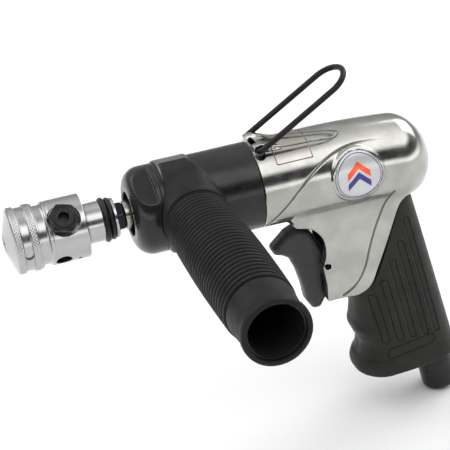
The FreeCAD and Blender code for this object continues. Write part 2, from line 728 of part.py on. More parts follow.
def casing_fittings():
    """Badge discs, hanging bail, foot plate with its screws, and the muffler behind it."""
    discs = [badge_shell("badge_disc", "badge_radius", "badge_face + 0.02", "badge_face + 0.9", side)
             for side in (-1, 1)]
    pair = DOC.addObject("Part::Compound", "badge_pair")
    pair.Links = discs
    node("badge_discs", pair)
    node("hanging_bail", shaped("bail_wire_bent", bail_wire()))
    node("exhaust_muffler", rod("muffler_plug", "muffler_radius", "muffler_length",
                                ("muffler_place", "0", "-foot_drop + 0.1"), Z_AXIS))
    plate = block("foot_plate", ("172.2", "-13.2", "-foot_drop - 2.1"),
                  ("200.4", "13.2", "-foot_drop - 0.05"))
    slots = [block("foot_slot", (f"{176.5 + 3.2 * step}", "-6", "-130"),
                   (f"{178.1 + 3.2 * step}", "6", "-110")) for step in range(5)]
    holes = [rod("foot_screw_hole", "1.4", "10", (place, "0", "-foot_drop - 6"), Z_AXIS)
             for place in FOOT_SCREWS]
    bush = rod("foot_inlet_cut", "inlet_radius + 0.4", "30", inlet_point("-6"), inlet_direction())
    node("exhaust_cover", cut_by("foot_cut", plate, slots + holes + [bush]))


def bail_wire():
    """One wire: two parallel legs joined by a half circle, with pivots bent inward."""
    half = size("bail_half")
    length = size("bail_length") - half
    bend = size("bail_bend")
    slant = math.sqrt(0.5)
    pivot = size("ear_half") - size("ear_thickness") + 0.3
    points = {}
    for side in (-1, 1):
        points[side] = (V(0, side * pivot, 0), V(0, side * (half - bend), 0),
                        V(bend * (1 - slant), side * (half - bend * (1 - slant)), 0),
                        V(bend, side * half, 0), V(length, side * half, 0))
    near, far = points[-1], points[1]
    edges = [Part.makeLine(near[0], near[1]), Part.Arc(near[1], near[2], near[3]).toShape(),
             Part.makeLine(near[3], near[4]),
             Part.Arc(near[4], V(length + half, 0, 0), far[4]).toShape(),
             Part.makeLine(far[4], far[3]), Part.Arc(far[3], far[2], far[1]).toShape(),
             Part.makeLine(far[1], far[0])]
    path = Part.Wire(edges)
    section = Part.Wire(Part.makeCircle(size("bail_wire"), near[0], Y_AXIS))
    wire = path.makePipeShell([section], True, True)
    wire.rotate(V(0, 0, 0), Y_AXIS, -size("bail_angle"))
    wire.translate(V(size("bail_place"), 0, size("bail_height")))
    return wire


def trigger_group():
    """Trigger lever on its pin, and the throttle valve that it pushes."""
    profile = [V(125.4, 0, -35.4), V(127.4, 0, -40.2), V(131.5, 0, -41.8), V(135.6, 0, -44.2),
               V(139.6, 0, -52.5), V(142.1, 0, -62.6), V(143.3, 0, -71.4), V(146.3, 0, -76.6),
               V(150.4, 0, -76.4), V(154.6, 0, -69.9), V(155.0, 0, -66.0), V(154.0, 0, -64.5),
               V(154.0, 0, -57.0), V(156.6, 0, -53.2), V(157.7, 0, -49.0), V(155.6, 0, -44.6),
               V(150.5, 0, -38.0), V(146.0, 0, -31.5), V(140.3, 0, -26.9), V(134.0, 0, -28.4)]
    face = Part.Face(Part.makePolygon(profile + profile[:1]))
    half = size("trigger_half")
    face.translate(V(0, -half, 0))
    lever = shaped("trigger_lever", face.extrude(V(0, 2 * half, 0)))
    hole = rod("trigger_hole", "pin_radius + 0.07", "20", ("pin_place", "-10", "-pin_drop"), Y_AXIS)
    node("trigger", cut_by("trigger_cut", lever, [hole]))
    node("trigger_pin", rod("pivot_pin", "pin_radius", "25", ("pin_place", "-12.5", "-pin_drop"),
                            Y_AXIS))
    low = ("0", "0", "-stem_drop")
    node("throttle_stem", turned("stem_turning", [
        ("stem_front", "0"), ("stem_front + 0.3", "1.1"), ("stem_front + 1.1", "stem_radius"),
        ("valve_front", "stem_radius"), ("valve_front", "0"),
    ], at=low))
    node("throttle_valve", turned("valve_turning", [
        ("valve_front", "0"), ("valve_front", "4.4"), ("valve_rear - 0.8", "4.4"),
        ("valve_rear - 0.8", "3"), ("valve_rear", "3"), ("valve_rear", "0"),
    ], at=low))
    for name, front, rear, hole_radius in (
            ("throttle_guide", "throttle_guide_front", "throttle_guide_rear", "stem_radius + 0.05"),
            ("throttle_seat", "seat_front", "seat_rear", "3"),
    ):
        node(name, turned(name + "_turning", [
            (front, hole_radius), (front, "throttle_radius - 0.02"),
            (rear, "throttle_radius - 0.02"), (rear, hole_radius),
        ], at=low))
    node("throttle_plug", turned("plug_turning", [
        ("spring_rear", "0"), ("spring_rear", "throttle_radius - 0.02"),
        ("plug_rear", "throttle_radius - 0.02"), ("plug_rear", "2"), ("plug_rear - 2", "2"),
        ("plug_rear - 2", "0"),
    ], at=low))
    node("throttle_spring", spring("throttle_coil", 3.6, 0.4, "valve_rear - 0.75", "spring_rear",
                                   4, "stem_drop"))


def inlet_group():
    """Air inlet bush with its thread, screen and sealing ring."""
    down = inlet_direction()
    end = "inlet_length - 2"
    node("inlet_bush", turned("inlet_turning", [
        ("-inlet_neck", "inlet_passage_radius"), ("-inlet_neck", "inlet_thread_radius"),
        ("-2", "inlet_thread_radius"), ("-2", "inlet_radius"), (end, "inlet_radius"),
        (end, "inlet_port_radius"), (end + " - inlet_port_depth", "inlet_port_radius"),
        (end + " - inlet_port_depth", "inlet_port_radius - 0.3"), ("6.2", "inlet_port_radius - 0.3"),
        ("6.2", "inlet_passage_radius"),
    ], at=("inlet_place", "0", "-inlet_drop"), along=down,
        rounds=[(end, "inlet_radius", "2.2")]))
    node("inlet_screen", turned("screen_turning", [
        ("6.3", "0"), ("6.3", "inlet_port_radius - 0.35"), ("7.6", "inlet_port_radius - 0.35"),
        ("7.6", "0"),
    ], at=("inlet_place", "0", "-inlet_drop"), along=down))
    node("inlet_o_ring", torus("inlet_ring", "7.9", "1.05", inlet_point("-3.1"), down))
    screws = []
    for place in FOOT_SCREWS:
        shank = rod("foot_screw_shank", "1.2", "7", (place, "0", "-foot_drop - 2.1"), Z_AXIS)
        head = rod("foot_screw_head", "2.4", "1.2", (place, "0", "-foot_drop - 3.3"), Z_AXIS)
        screws.append(fused("foot_screw", [shank, head]))
    pair = DOC.addObject("Part::Compound", "foot_screw_pair")
    pair.Links = screws
    node("foot_screws", pair)


def saddle_solid():
    """The saddle flows from the round end of the handle to the strap's width on the barrel."""
    front = size("strap_front")
    rear = size("strap_rear")
    place = size("handle_place")
    face = size("saddle_face")
    ring = size("saddle_round")
    stations = ((-face, place - ring, place + ring, ring, 0.999 * ring),
                (-19.0, 69.6, 102.0, 18.6, 14.5), (-10.0, 71.4, 97.5, 22.0, 7.0),
                (-1.0, front, rear, 23.6, 2.0))
    wires = []
    for level, low, high, half, corner in stations:
        wire = rounded_section(low, high, half, corner, corner, 0.0)
        wire.rotate(V(0, 0, 0), X_AXIS, 90)
        wire.translate(V(0, level, 0))
        wires.append(wire)
    return Part.makeLoft(wires, True, True)


def side_handle():
    """Strap, saddle and stud of the clamp, then the twist grip with its core and nut."""
    node("clamp_strap", turned("strap_turning", [
        ("strap_front", "strap_inner"), ("strap_front", "strap_outer"),
        ("strap_rear", "strap_outer"), ("strap_rear", "strap_inner"),
    ]))
    out = V(0, -1, 0)
    base = ("handle_place", "0", "0")
    barrel = rod("saddle_barrel_cut", "saddle_inner", "60", ("60", "0", "0"), X_AXIS)
    passage = rod("saddle_stud_cut", "stud_radius + 0.2", "30", base, out)
    pocket = rod("saddle_head_cut", "6.4", "24.7", base, out)
    node("handle_saddle", cut_by("saddle_cut", shaped("saddle_block", saddle_solid()),
                                 [barrel, passage, pocket]))
    node("clamp_stud", turned("stud_turning", [
        ("23", "0"), ("23", "6.2"), ("24.6", "6.2"), ("24.6", "stud_radius"), ("46", "stud_radius"),
        ("46", "0"),
    ], at=base, along=out))
    node("handle_core", turned("core_turning", [
        ("grip_start", "stud_radius + 0.1"), ("grip_start", "grip_bore - 0.05"),
        ("core_end", "grip_bore - 0.05"), ("core_end", "core_bore"), ("32", "core_bore"),
        ("32", "stud_radius + 0.1"),
    ], at=base, along=out))
    nut = hexagon("handle_nut_block", "nut_flats", "6.5", ("handle_place", "-32.05", "0"), out)
    hole = rod("handle_nut_hole", "stud_radius + 0.06", "12", ("handle_place", "-30", "0"), out)
    node("handle_nut", cut_by("handle_nut_cut", nut, [hole]))
    ridge_count = 28
    ridge_start = 27.6
    pitch = (117.4 - ridge_start) / ridge_count
    outline = [("grip_start", "grip_bore"), ("grip_start", "15.7")]
    for index in range(ridge_count):
        start = ridge_start + index * pitch
        crest = ridge_crest((index + 0.5) / ridge_count)
        outline += [(f"{start + 0.2 * pitch:.3f}", f"{crest - 0.55:.3f}"),
                    (f"{start + 0.45 * pitch:.3f}", f"{crest:.3f}"),
                    (f"{start + 0.85 * pitch:.3f}", f"{crest:.3f}")]
    outline += [("118.6", "15.9"), ("131", "15.4"), ("133.5", "15.9"), ("grip_end - 1.2", "15.9"),
                ("grip_end", "15.0"), ("grip_end", "13.4"), ("core_end + 0.4", "13.0"),
                ("core_end + 0.4", "grip_bore")]
    node("grip_sleeve", turned("sleeve_turning", outline, at=base, along=out))


def ridge_crest(share):
    """Crest radius of the ribbed grip, which swells gently past its middle."""
    return 16.0 + 1.5 * math.sin(math.pi * min(1.0, 0.08 + 0.82 * share)) ** 0.8


def check_document():
    """Stops if any object failed, or a sub-part has no valid shape."""
    DOC.recompute()
    for thing in DOC.Objects:
        if "Invalid" in thing.State or "Error" in thing.State:
            raise ValueError(f"{thing.Name} did not recompute: {thing.State}")
    for name, thing in NODES.items():
        if thing.Shape.isNull() or not thing.Shape.isValid() or not thing.Shape.Solids:
            raise ValueError(f"{name} has no valid shape")


def write_parts():
    """Writes one STEP file for each node."""
    os.makedirs("parts", exist_ok=True)
    for name, thing in NODES.items():
        thing.Shape.exportStep(f"parts/{name}.step")
        box = thing.Shape.BoundBox
        print(f"{name:16s} solids {len(thing.Shape.Solids)} volume {thing.Shape.Volume:9.1f} "
              f"x {box.XMin:.1f} {box.XMax:.1f} y {box.YMin:.1f} {box.YMax:.1f} "
              f"z {box.ZMin:.1f} {box.ZMax:.1f}")


tool_holder()
set_bolt()
screw_collar()
spindle_group()
nose_group()
hammer_group()
motor_casing()
grip_cover()
casing_fittings()
trigger_group()
inlet_group()
side_handle()
check_document()
write_parts()
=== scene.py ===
"""The looks of a hand-held air hammer with a pistol grip, a side handle and a screw-collar tool holder.

Lengths are in millimetres until a mesh is made. X runs from the tool bore's mouth to the rear, the side
handle points along -Y, and +Z is up. Closed shapes are distance fields that are negative inside.
"""

import json
import math

import bpy
import numpy as np
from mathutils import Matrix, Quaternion, Vector


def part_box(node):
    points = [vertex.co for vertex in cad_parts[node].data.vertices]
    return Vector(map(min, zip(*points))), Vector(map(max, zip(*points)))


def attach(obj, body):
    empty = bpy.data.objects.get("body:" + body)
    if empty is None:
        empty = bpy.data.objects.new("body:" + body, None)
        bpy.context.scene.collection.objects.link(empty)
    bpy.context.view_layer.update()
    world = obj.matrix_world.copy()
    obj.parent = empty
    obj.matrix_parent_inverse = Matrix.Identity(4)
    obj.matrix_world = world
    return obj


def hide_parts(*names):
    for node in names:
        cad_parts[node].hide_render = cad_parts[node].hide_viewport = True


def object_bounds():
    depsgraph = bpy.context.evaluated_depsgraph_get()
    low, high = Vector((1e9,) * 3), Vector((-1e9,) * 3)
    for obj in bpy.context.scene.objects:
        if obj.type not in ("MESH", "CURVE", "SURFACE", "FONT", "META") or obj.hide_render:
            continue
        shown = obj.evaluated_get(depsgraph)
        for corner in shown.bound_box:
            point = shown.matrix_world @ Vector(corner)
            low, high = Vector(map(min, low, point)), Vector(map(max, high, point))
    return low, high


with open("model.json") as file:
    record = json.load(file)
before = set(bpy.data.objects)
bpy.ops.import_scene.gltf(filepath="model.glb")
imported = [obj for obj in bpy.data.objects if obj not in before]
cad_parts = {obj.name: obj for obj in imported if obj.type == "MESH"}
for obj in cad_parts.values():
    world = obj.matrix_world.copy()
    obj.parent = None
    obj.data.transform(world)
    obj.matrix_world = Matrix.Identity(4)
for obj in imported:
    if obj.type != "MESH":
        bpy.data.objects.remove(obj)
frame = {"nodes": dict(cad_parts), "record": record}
cad_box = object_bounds()

MM = 0.001


class Span:
    """Where a CAD node lies at rest: its two corners, middle and half size, in millimetres."""

    def __init__(self, node):
        low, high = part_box(node)
        self.low = np.array(low) / MM
        self.high = np.array(high) / MM
        self.middle = (self.low + self.high) / 2
        self.half = (self.high - self.low) / 2


CASING = Span("motor_casing")
HOUSING = Span("front_housing")
NOSE = Span("nose_cap")
HOLDER = Span("tool_holder")
COLLAR = Span("collar_cap")
SADDLE = Span("handle_saddle")
STRAP = Span("clamp_strap")
SLEEVE = Span("grip_sleeve")
BAIL = Span("hanging_bail")
TRIGGER = Span("trigger")
BADGE = Span("badge_discs")
GRIP = Span("grip_cover")

# ---------------------------------------------------------------------------------------- fields


def smooth_curve(points, steps=6):
    """Points along a Catmull-Rom curve through the given ones."""
    points = np.array(points, float)
    padded = np.vstack([2 * points[0] - points[1], points, 2 * points[-1] - points[-2]])
    curve = []
    for a, b, c, d in zip(padded, padded[1:], padded[2:], padded[3:]):
        for t in np.arange(steps) / steps:
            pull = (c - a) * t + (2 * a - 5 * b + 4 * c - d) * t**2 + (3 * b - a - 3 * c + d) * t**3
            curve.append(b + pull / 2)
    curve.append(points[-1])
    return np.array(curve)


def path_distance(place, path):
    """Distance from each place to a chain of straight spans, in two axes or three."""
    nearest = np.inf
    for start, end in zip(path[:-1], path[1:]):
        along = np.subtract(end, start)
        offset = [p - s for p, s in zip(place, start)]
        share = np.clip(sum(o * a for o, a in zip(offset, along)) / along.dot(along), 0, 1)
        nearest = np.minimum(nearest, sum((o - share * a) ** 2 for o, a in zip(offset, along)))
    return np.sqrt(nearest)


def outline_distance(u, v, outline):
    """Signed distance to a closed outline in the plane of u and v."""
    outline = np.array(outline, float)
    closed = np.vstack([outline, outline[:1]])
    inside = np.zeros(np.broadcast(u, v).shape, bool)
    for start, end in zip(closed[:-1], closed[1:]):
        if start[1] != end[1]:
            crossing = start[0] + (v - start[1]) * (end[0] - start[0]) / (end[1] - start[1])
            inside ^= ((start[1] > v) != (end[1] > v)) & (u < crossing)
    return path_distance((u, v), closed) * np.where(inside, -1, 1)


def both(a, b, ease=0.0):
    """Common part of two fields, with the edge between them rounded by ease."""
    if not ease:
        return np.maximum(a, b)
    share = np.clip(0.5 - 0.5 * (b - a) / ease, 0, 1)
    return b + (a - b) * share + ease * share * (1 - share)


def either(a, b, ease=0.0):
    """Union of two fields, with the corner between them filled by ease."""
    return -both(-a, -b, ease)


def without(a, b, ease=0.0):
    """The first field with the second cut out of it."""
    return both(a, -b, ease)


def crossed(a, b, ease):
    """Common part of two fields at right angles, with a true round of radius ease."""
    a, b = a + ease, b + ease
    return np.minimum(np.maximum(a, b), 0) + np.hypot(np.maximum(a, 0), np.maximum(b, 0)) - ease


def slab(value, low, high):
    """Field between two planes."""
    return abs(value - (low + high) / 2) - (high - low) / 2


def can(along, radial, low, high, radius, ease=0.3):
    """Solid of revolution with a flat at each end and rounded rims."""
    return crossed(slab(along, low, high), radial - radius, ease)


def hexagon(u, v, flats):
    """Hexagon with two corners on the v axis."""
    u, v = abs(u), abs(v)
    return np.maximum(u, u / 2 + v * math.sqrt(0.75)) - flats / 2


def track(value, stations):
    """Smooth value read from (place, value) stations."""
    curve = smooth_curve(stations)
    return np.interp(value, curve[:, 0], curve[:, 1])


def side_axes(x, y, z, place, degrees):
    """Coordinates about a radial axis that leaves the tool's axis at place, degrees above -Y."""
    cosine, sine = math.cos(math.radians(degrees)), math.sin(math.radians(degrees))
    return -y * cosine + z * sine, x - place, y * sine + z * cosine


def drilling(x, y, z, place, degrees, radius, floor):
    """Round hole drilled in along a radial axis, down to floor millimetres from the tool's axis."""
    out, along, across = side_axes(x, y, z, place, degrees)
    return np.maximum(np.hypot(along, across) - radius, floor - out)


def engraving(distance, depth, width):
    """Depth of a round-bottomed groove at a distance from its middle."""
    return depth * np.exp(-((distance / width) ** 2))


# ------------------------------------------------------------------------------------ mesh making

PAIRS = [(a, b) for a in range(8) for b in range(a + 1, 8) if (a ^ b) in (1, 2, 4)]


def surface_net(field, low, high, step):
    """Vertices and quads of a field's zero level: one vertex a cell, at the mean of its crossings."""
    counts = np.ceil((np.array(high) - low) / step).astype(int) + 1
    x, y, z = (low[i] + step * np.arange(counts[i]) for i in range(3))
    value = field(x[:, None, None], y[None, :, None], z[None, None, :])
    value = np.ascontiguousarray(np.broadcast_to(value, counts), dtype=np.float32)
    inside = value < 0
    corners = [(c & 1, c >> 1 & 1, c >> 2) for c in range(8)]
    ends = counts - 1
    held = sum(inside[i:i + ends[0], j:j + ends[1], k:k + ends[2]].astype(np.int8)
               for i, j, k in corners)
    cells = np.argwhere((held > 0) & (held < 8))
    level = np.array([value[tuple((cells + c).T)] for c in corners])
    total, hits = np.zeros((len(cells), 3)), np.zeros(len(cells))
    for a, b in PAIRS:
        crosses = (level[a] < 0) != (level[b] < 0)
        share = np.where(crosses, level[a] / np.where(crosses, level[a] - level[b], 1), 0)
        start, end = np.array(corners[a]), np.array(corners[b])
        total += np.where(crosses[:, None], start + share[:, None] * (end - start), 0)
        hits += crosses
    points = np.array(low) + step * (cells + total / hits[:, None])
    number = np.full(ends, -1)
    number[tuple(cells.T)] = np.arange(len(cells))
    quads = []
    for axis in range(3):
        order = (axis, (axis + 1) % 3, (axis + 2) % 3)
        solid, index = inside.transpose(order), number.transpose(order)
        lower, upper = solid[:-1, 1:-1, 1:-1], solid[1:, 1:-1, 1:-1]
        i, j, k = np.nonzero(lower != upper)
        quad = np.stack([index[i, j, k], index[i, j + 1, k], index[i, j + 1, k + 1],
                         index[i, j, k + 1]], 1)
        quads.append(np.where(lower[i, j, k][:, None], quad, quad[:, ::-1]))
    return points, np.vstack(quads)


def slope(field, points, reach=0.03):
    """Gradient of a field at points, by central differences."""
    result = np.empty_like(points)
    for axis in range(3):
        step = np.zeros(3)
        step[axis] = reach
        result[:, axis] = (field(*(points + step).T) - field(*(points - step).T)) / (2 * reach)
    return result


def unit(vectors):
    """The same directions, each one long."""
    return vectors / np.maximum(np.linalg.norm(vectors, axis=1), 1e-9)[:, None]


def give_mark(mesh, key, values):
    """Store a number, or one for each vertex, for the mesh's material to read."""
    layer = mesh.attributes.new(key, "FLOAT", "POINT")
    spread = np.broadcast_to(np.float32(values), len(mesh.vertices))
    layer.data.foreach_set("value", np.ascontiguousarray(spread))


def build(name, points, faces, slot, body, nodes=(), normals=None, marks=None):
    """Mesh piece from millimetre points, finished in a slot's material and riding on a body."""
    mesh = bpy.data.meshes.new(name)
    mesh.from_pydata((np.asarray(points) * MM).tolist(), [], [list(f) for f in faces])
    mesh.polygons.foreach_set("use_smooth", np.ones(len(mesh.polygons), bool))
    if normals is None:
        mesh.set_sharp_from_angle(angle=math.radians(38))
    else:
        mesh.normals_split_custom_set_from_vertices(np.asarray(normals).tolist())
    for key, values in (marks or {}).items():
        give_mark(mesh, key, values)
    piece = bpy.data.objects.new(name, mesh)
    bpy.context.scene.collection.objects.link(piece)
    mesh.materials.append(MATERIALS[slot])
    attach(piece, body)
    if nodes:
        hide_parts(*nodes)
    return piece


def net_piece(name, field, low, high, step, slot, body, nodes=(), detail=None, marks=None):
    """Piece from a distance field; detail is the same field with its fine relief added."""
    points, faces = surface_net(field, np.array(low, float), np.array(high, float), step)
    fine = detail or field
    for _ in range(4):
        lean = slope(fine, points)
        size = np.maximum((lean**2).sum(1), 0.25)
        move = np.clip(fine(*points.T) / size, -step, step)
        points = points - move[:, None] * lean
    normals = unit(slope(fine, points))
    rise = sum(fine(*(points + s).T) + fine(*(points - s).T) for s in np.eye(3) * 0.4)
    curl = (rise - 6 * fine(*points.T)) / 0.4**2
    shade = {
        "edge": np.clip(curl / 2.5, 0, 1),
        # cavity: how near other surface lies 2.5 mm out; finishes read it to paint shade into hollows.
        "cavity": 1 - np.clip(fine(*(points + 2.5 * normals).T) / 2.5, 0, 1),
    }
    for key, mark in (marks or {}).items():
        shade[key] = mark(*points.T)
    return build(name, points, faces, slot, body, nodes, normals, shade)


def rounded(outline, radius, steps=3):
    """Closed outline with each corner rounded; a third number on a corner is its own radius."""
    corners = [(np.array(c[:2], float), c[2] if len(c) > 2 else radius) for c in outline]
    result = []
    for i, (corner, reach) in enumerate(corners):
        before, after = corners[i - 1][0] - corner, corners[(i + 1) % len(corners)][0] - corner
        spare = min(np.linalg.norm(before), np.linalg.norm(after)) * 0.49
        before, after = unit(np.array([before, after]))
        turn = math.pi - math.acos(np.clip(before.dot(after), -1, 1))
        if turn < 0.05:
            result.append(corner)
            continue
        cut = min(reach * math.tan(turn / 2), spare)
        first, last = corner + before * cut, corner + after * cut
        for t in np.linspace(0, 1, steps + 1):
            result.append((1 - t) ** 2 * first + 2 * t * (1 - t) * corner + t**2 * last)
    return np.array(result)


def revolve(outline, turns, axis, origin):
    """Points, quads and normals of an outline (along, radius) turned about an axis."""
    outline = np.array(outline, float)
    axis = np.array(axis, float) / np.linalg.norm(axis)
    aside = np.cross(axis, (0, 0, 1) if abs(axis[2]) < 0.9 else (0, 1, 0))
    aside /= np.linalg.norm(aside)
    across = np.cross(axis, aside)
    spans = np.roll(outline, -1, 0) - outline
    lean = np.stack([-spans[:, 1], spans[:, 0]], 1)
    lean = lean + np.roll(lean, 1, 0)
    area = np.sum(outline[:, 0] * np.roll(outline[:, 1], -1) - outline[:, 1] * np.roll(outline[:, 0], -1))
    lean = unit(lean) * (-1 if area > 0 else 1)
    angles = 2 * math.pi * np.arange(turns) / turns
    radial = np.cos(angles)[:, None] * aside + np.sin(angles)[:, None] * across
    points = (np.array(origin) + outline[None, :, :1] * axis
              + outline[None, :, 1:] * radial[:, None, :])
    normals = lean[None, :, :1] * axis + lean[None, :, 1:] * radial[:, None, :]
    count = len(outline)
    step = np.arange(count)
    ring = np.arange(turns)[:, None] * count
    after = np.roll(np.arange(turns), -1)[:, None] * count
    following = (step + 1) % count
    faces = np.stack([ring + step, ring + following, after + following, after + step], -1)
    faces = faces.reshape(-1, 4)
    if area < 0:
        faces = faces[:, ::-1]
    return points.reshape(-1, 3), faces, normals.reshape(-1, 3)


def lathe(name, outline, slot, body, nodes=(), axis=(1, 0, 0), origin=(0, 0, 0), turns=128, ease=0.3):
    """Turned piece with every corner of its closed outline eased."""
    shape = rounded(outline, ease) if ease else np.array(outline, float)
    points, faces, normals = revolve(shape, turns, axis, origin)
    return build(name, points, faces, slot, body, nodes, normals)


def tube_faces(rings, sides):
    """Faces of a capped tube whose points are listed ring by ring."""
    faces = []
    for i in range(rings - 1):
        for j in range(sides):
            after = (j + 1) % sides
            faces.append([i * sides + j, i * sides + after, (i + 1) * sides + after,
                          (i + 1) * sides + j])
    first = list(range(sides))
    last = list(range((rings - 1) * sides, rings * sides))
    return [*faces, first[::-1], last]


def pipe(name, path, radius, slot, body, nodes=(), sides=28):
    """Round wire along a path, with domed ends."""
    path = np.array(path, float)
    ahead = unit(np.gradient(path, axis=0))
    domes = np.sin(np.radians((20, 45, 68)))
    stations = [(path[0], ahead[0], -share) for share in domes[::-1]]
    stations += [(centre, direction, 0) for centre, direction in zip(path, ahead)]
    stations += [(path[-1], ahead[-1], share) for share in domes]
    side = np.cross(ahead[0], (0.3, 0.2, 1))
    angles = 2 * math.pi * np.arange(sides) / sides
    points, normals = [], []
    for centre, direction, share in stations:
        side = side - direction * side.dot(direction)
        side /= np.linalg.norm(side)
        ring = np.cos(angles)[:, None] * side + np.sin(angles)[:, None] * np.cross(direction, side)
        lean = ring * math.sqrt(1 - share**2) + share * direction
        points.append(centre + radius * lean)
        normals.append(lean)
    faces = tube_faces(len(stations), sides)
    return build(name, np.vstack(points), faces, slot, body, nodes, np.vstack(normals))


# -------------------------------------------------------------------------------------- materials


class Recipe:
    """A material's node tree, written as calls that give back sockets."""

    def __init__(self, name):
        self.material = bpy.data.materials.new(name)
        self.material.use_nodes = True
        self.tree = self.material.node_tree
        self.surface = self.tree.nodes["Principled BSDF"]
        self.place = self.add("ShaderNodeTexCoord").outputs["Object"]

    def feed(self, socket, value):
        if isinstance(value, bpy.types.NodeSocket):
            self.tree.links.new(value, socket)
        else:
            socket.default_value = value

    def add(self, kind, inputs=(), **settings):
        node = self.tree.nodes.new(kind)
        for key, value in settings.items():
            setattr(node, key, value)
        for key, value in dict(inputs).items():
            self.feed(node.inputs[key], value)
        return node

    def math(self, operation, a, b=0.0):
        node = self.add("ShaderNodeMath", operation=operation)
        self.feed(node.inputs[0], a)
        self.feed(node.inputs[1], b)
        return node.outputs[0]

    def noise(self, size, detail=3.0, stretch=(1, 1, 1)):
        """Noise from 0 to 1 whose features are about size millimetres, longer where stretch is small."""
        spread = self.add("ShaderNodeMapping", {"Vector": self.place, "Scale": stretch})
        spread = spread.outputs["Vector"]
        return self.add("ShaderNodeTexNoise", {"Vector": spread, "Scale": 1 / (size * MM),
                                               "Detail": detail}).outputs["Fac"]

    def ramp(self, value, low, high, first=0.0, last=1.0):
        """Smooth step of value from first at low to last at high."""
        return self.add("ShaderNodeMapRange", {"Value": value, "From Min": low, "From Max": high,
                                               "To Min": first, "To Max": last},
                        interpolation_type="SMOOTHSTEP").outputs["Result"]

    def mark(self, key):
        return self.add("ShaderNodeAttribute", attribute_name=key).outputs["Fac"]

    def mix(self, share, first, second):
        node = self.add("ShaderNodeMix", data_type="RGBA")
        self.feed(node.inputs["Factor"], share)
        self.feed(node.inputs["A"], first)
        self.feed(node.inputs["B"], second)
        return node.outputs["Result"]

    def emboss(self, height, depth, below=None):
        """Bump of depth millimetres, on top of another normal."""
        inputs = {"Height": height, "Strength": 1.0, "Distance": depth * MM}
        if below is not None:
            inputs["Normal"] = below
        return self.add("ShaderNodeBump", inputs).outputs["Normal"]


def grey(level):
    return (level, level, level, 1.0)


def finish(name, colour, tint, metallic, rough, patch=8.0, grain=0.25, depth=0.01, lines=None,
           wear=None, painted_shade=0.35, foil=None, engraved=(), inks=(), surface=None):
    """A finish with cloudy tint, roughness spread, grain, worn edges and painted shade in its hollows.

    lines is (stretch, size, depth) of machining marks and wear the colour that shows on edges. foil
    is (mark, colour) of a film laid where the mark is negative, engraved lists (mark, half width,
    darkness) of lines along a mark's zero level, painted dark as the shade in their grooves, and inks
    are colours in the order of their numbers.
    """
    recipe = Recipe(name)
    cloud = recipe.noise(patch, 4.0)
    base = recipe.mix(recipe.ramp(cloud, 0.35, 0.65), (*colour, 1), (*tint, 1))
    roughness = recipe.ramp(recipe.noise(patch * 0.4, 5.0), 0.3, 0.7, rough[0], rough[1])
    normal = recipe.emboss(recipe.noise(grain, 2.0), depth)
    if lines:
        stretch, size, cut = lines
        marks = recipe.noise(size, 2.0, stretch)
        normal = recipe.emboss(marks, cut, normal)
        roughness = recipe.math("ADD", roughness, recipe.ramp(marks, 0.3, 0.7, -0.04, 0.04))
    if wear:
        scuff = recipe.math("MULTIPLY", recipe.mark("edge"), recipe.noise(1.2, 4.0))
        base = recipe.mix(recipe.ramp(scuff, 0.25, 0.5, 0.0, 0.7), base, (*wear, 1))
    # Painted shade: hollows, read from the cavity mark, are darkened towards a deep tint where shade
    # would fall.
    if painted_shade:
        hollow_shade = recipe.ramp(recipe.mark("cavity"), 0.15, 0.9, 0.0, painted_shade)
        base = recipe.mix(hollow_shade, base, (*[c * 0.25 for c in tint], 1))
    if foil:
        key, shade = foil
        base = recipe.mix(recipe.ramp(recipe.mark(key), -0.1, 0.1, 0.55, 0.0), base, (*shade, 1))
    # Painted shade: each engraved line is darkened nearly black, standing in for the shade inside its
    # groove.
    for key, half, dark in engraved:
        away = recipe.math("ABSOLUTE", recipe.mark(key))
        line = recipe.ramp(away, half * 0.7, half * 1.25, dark, 0.0)
        base = recipe.mix(line, base, (*[c * 0.08 for c in tint], 1))
        roughness = recipe.math("ADD", roughness, recipe.math("MULTIPLY", line, 0.25))
    for number, ink in enumerate(inks, 1):
        base = recipe.mix(recipe.ramp(recipe.mark("ink"), number - 0.6, number - 0.4), base, (*ink, 1))
    recipe.feed(recipe.surface.inputs["Base Color"], base)
    recipe.feed(recipe.surface.inputs["Roughness"], roughness)
    recipe.feed(recipe.surface.inputs["Normal"], normal)
    recipe.feed(recipe.surface.inputs["Metallic"], metallic)
    for key, value in (surface or {}).items():
        recipe.feed(recipe.surface.inputs[key], value)
    return recipe


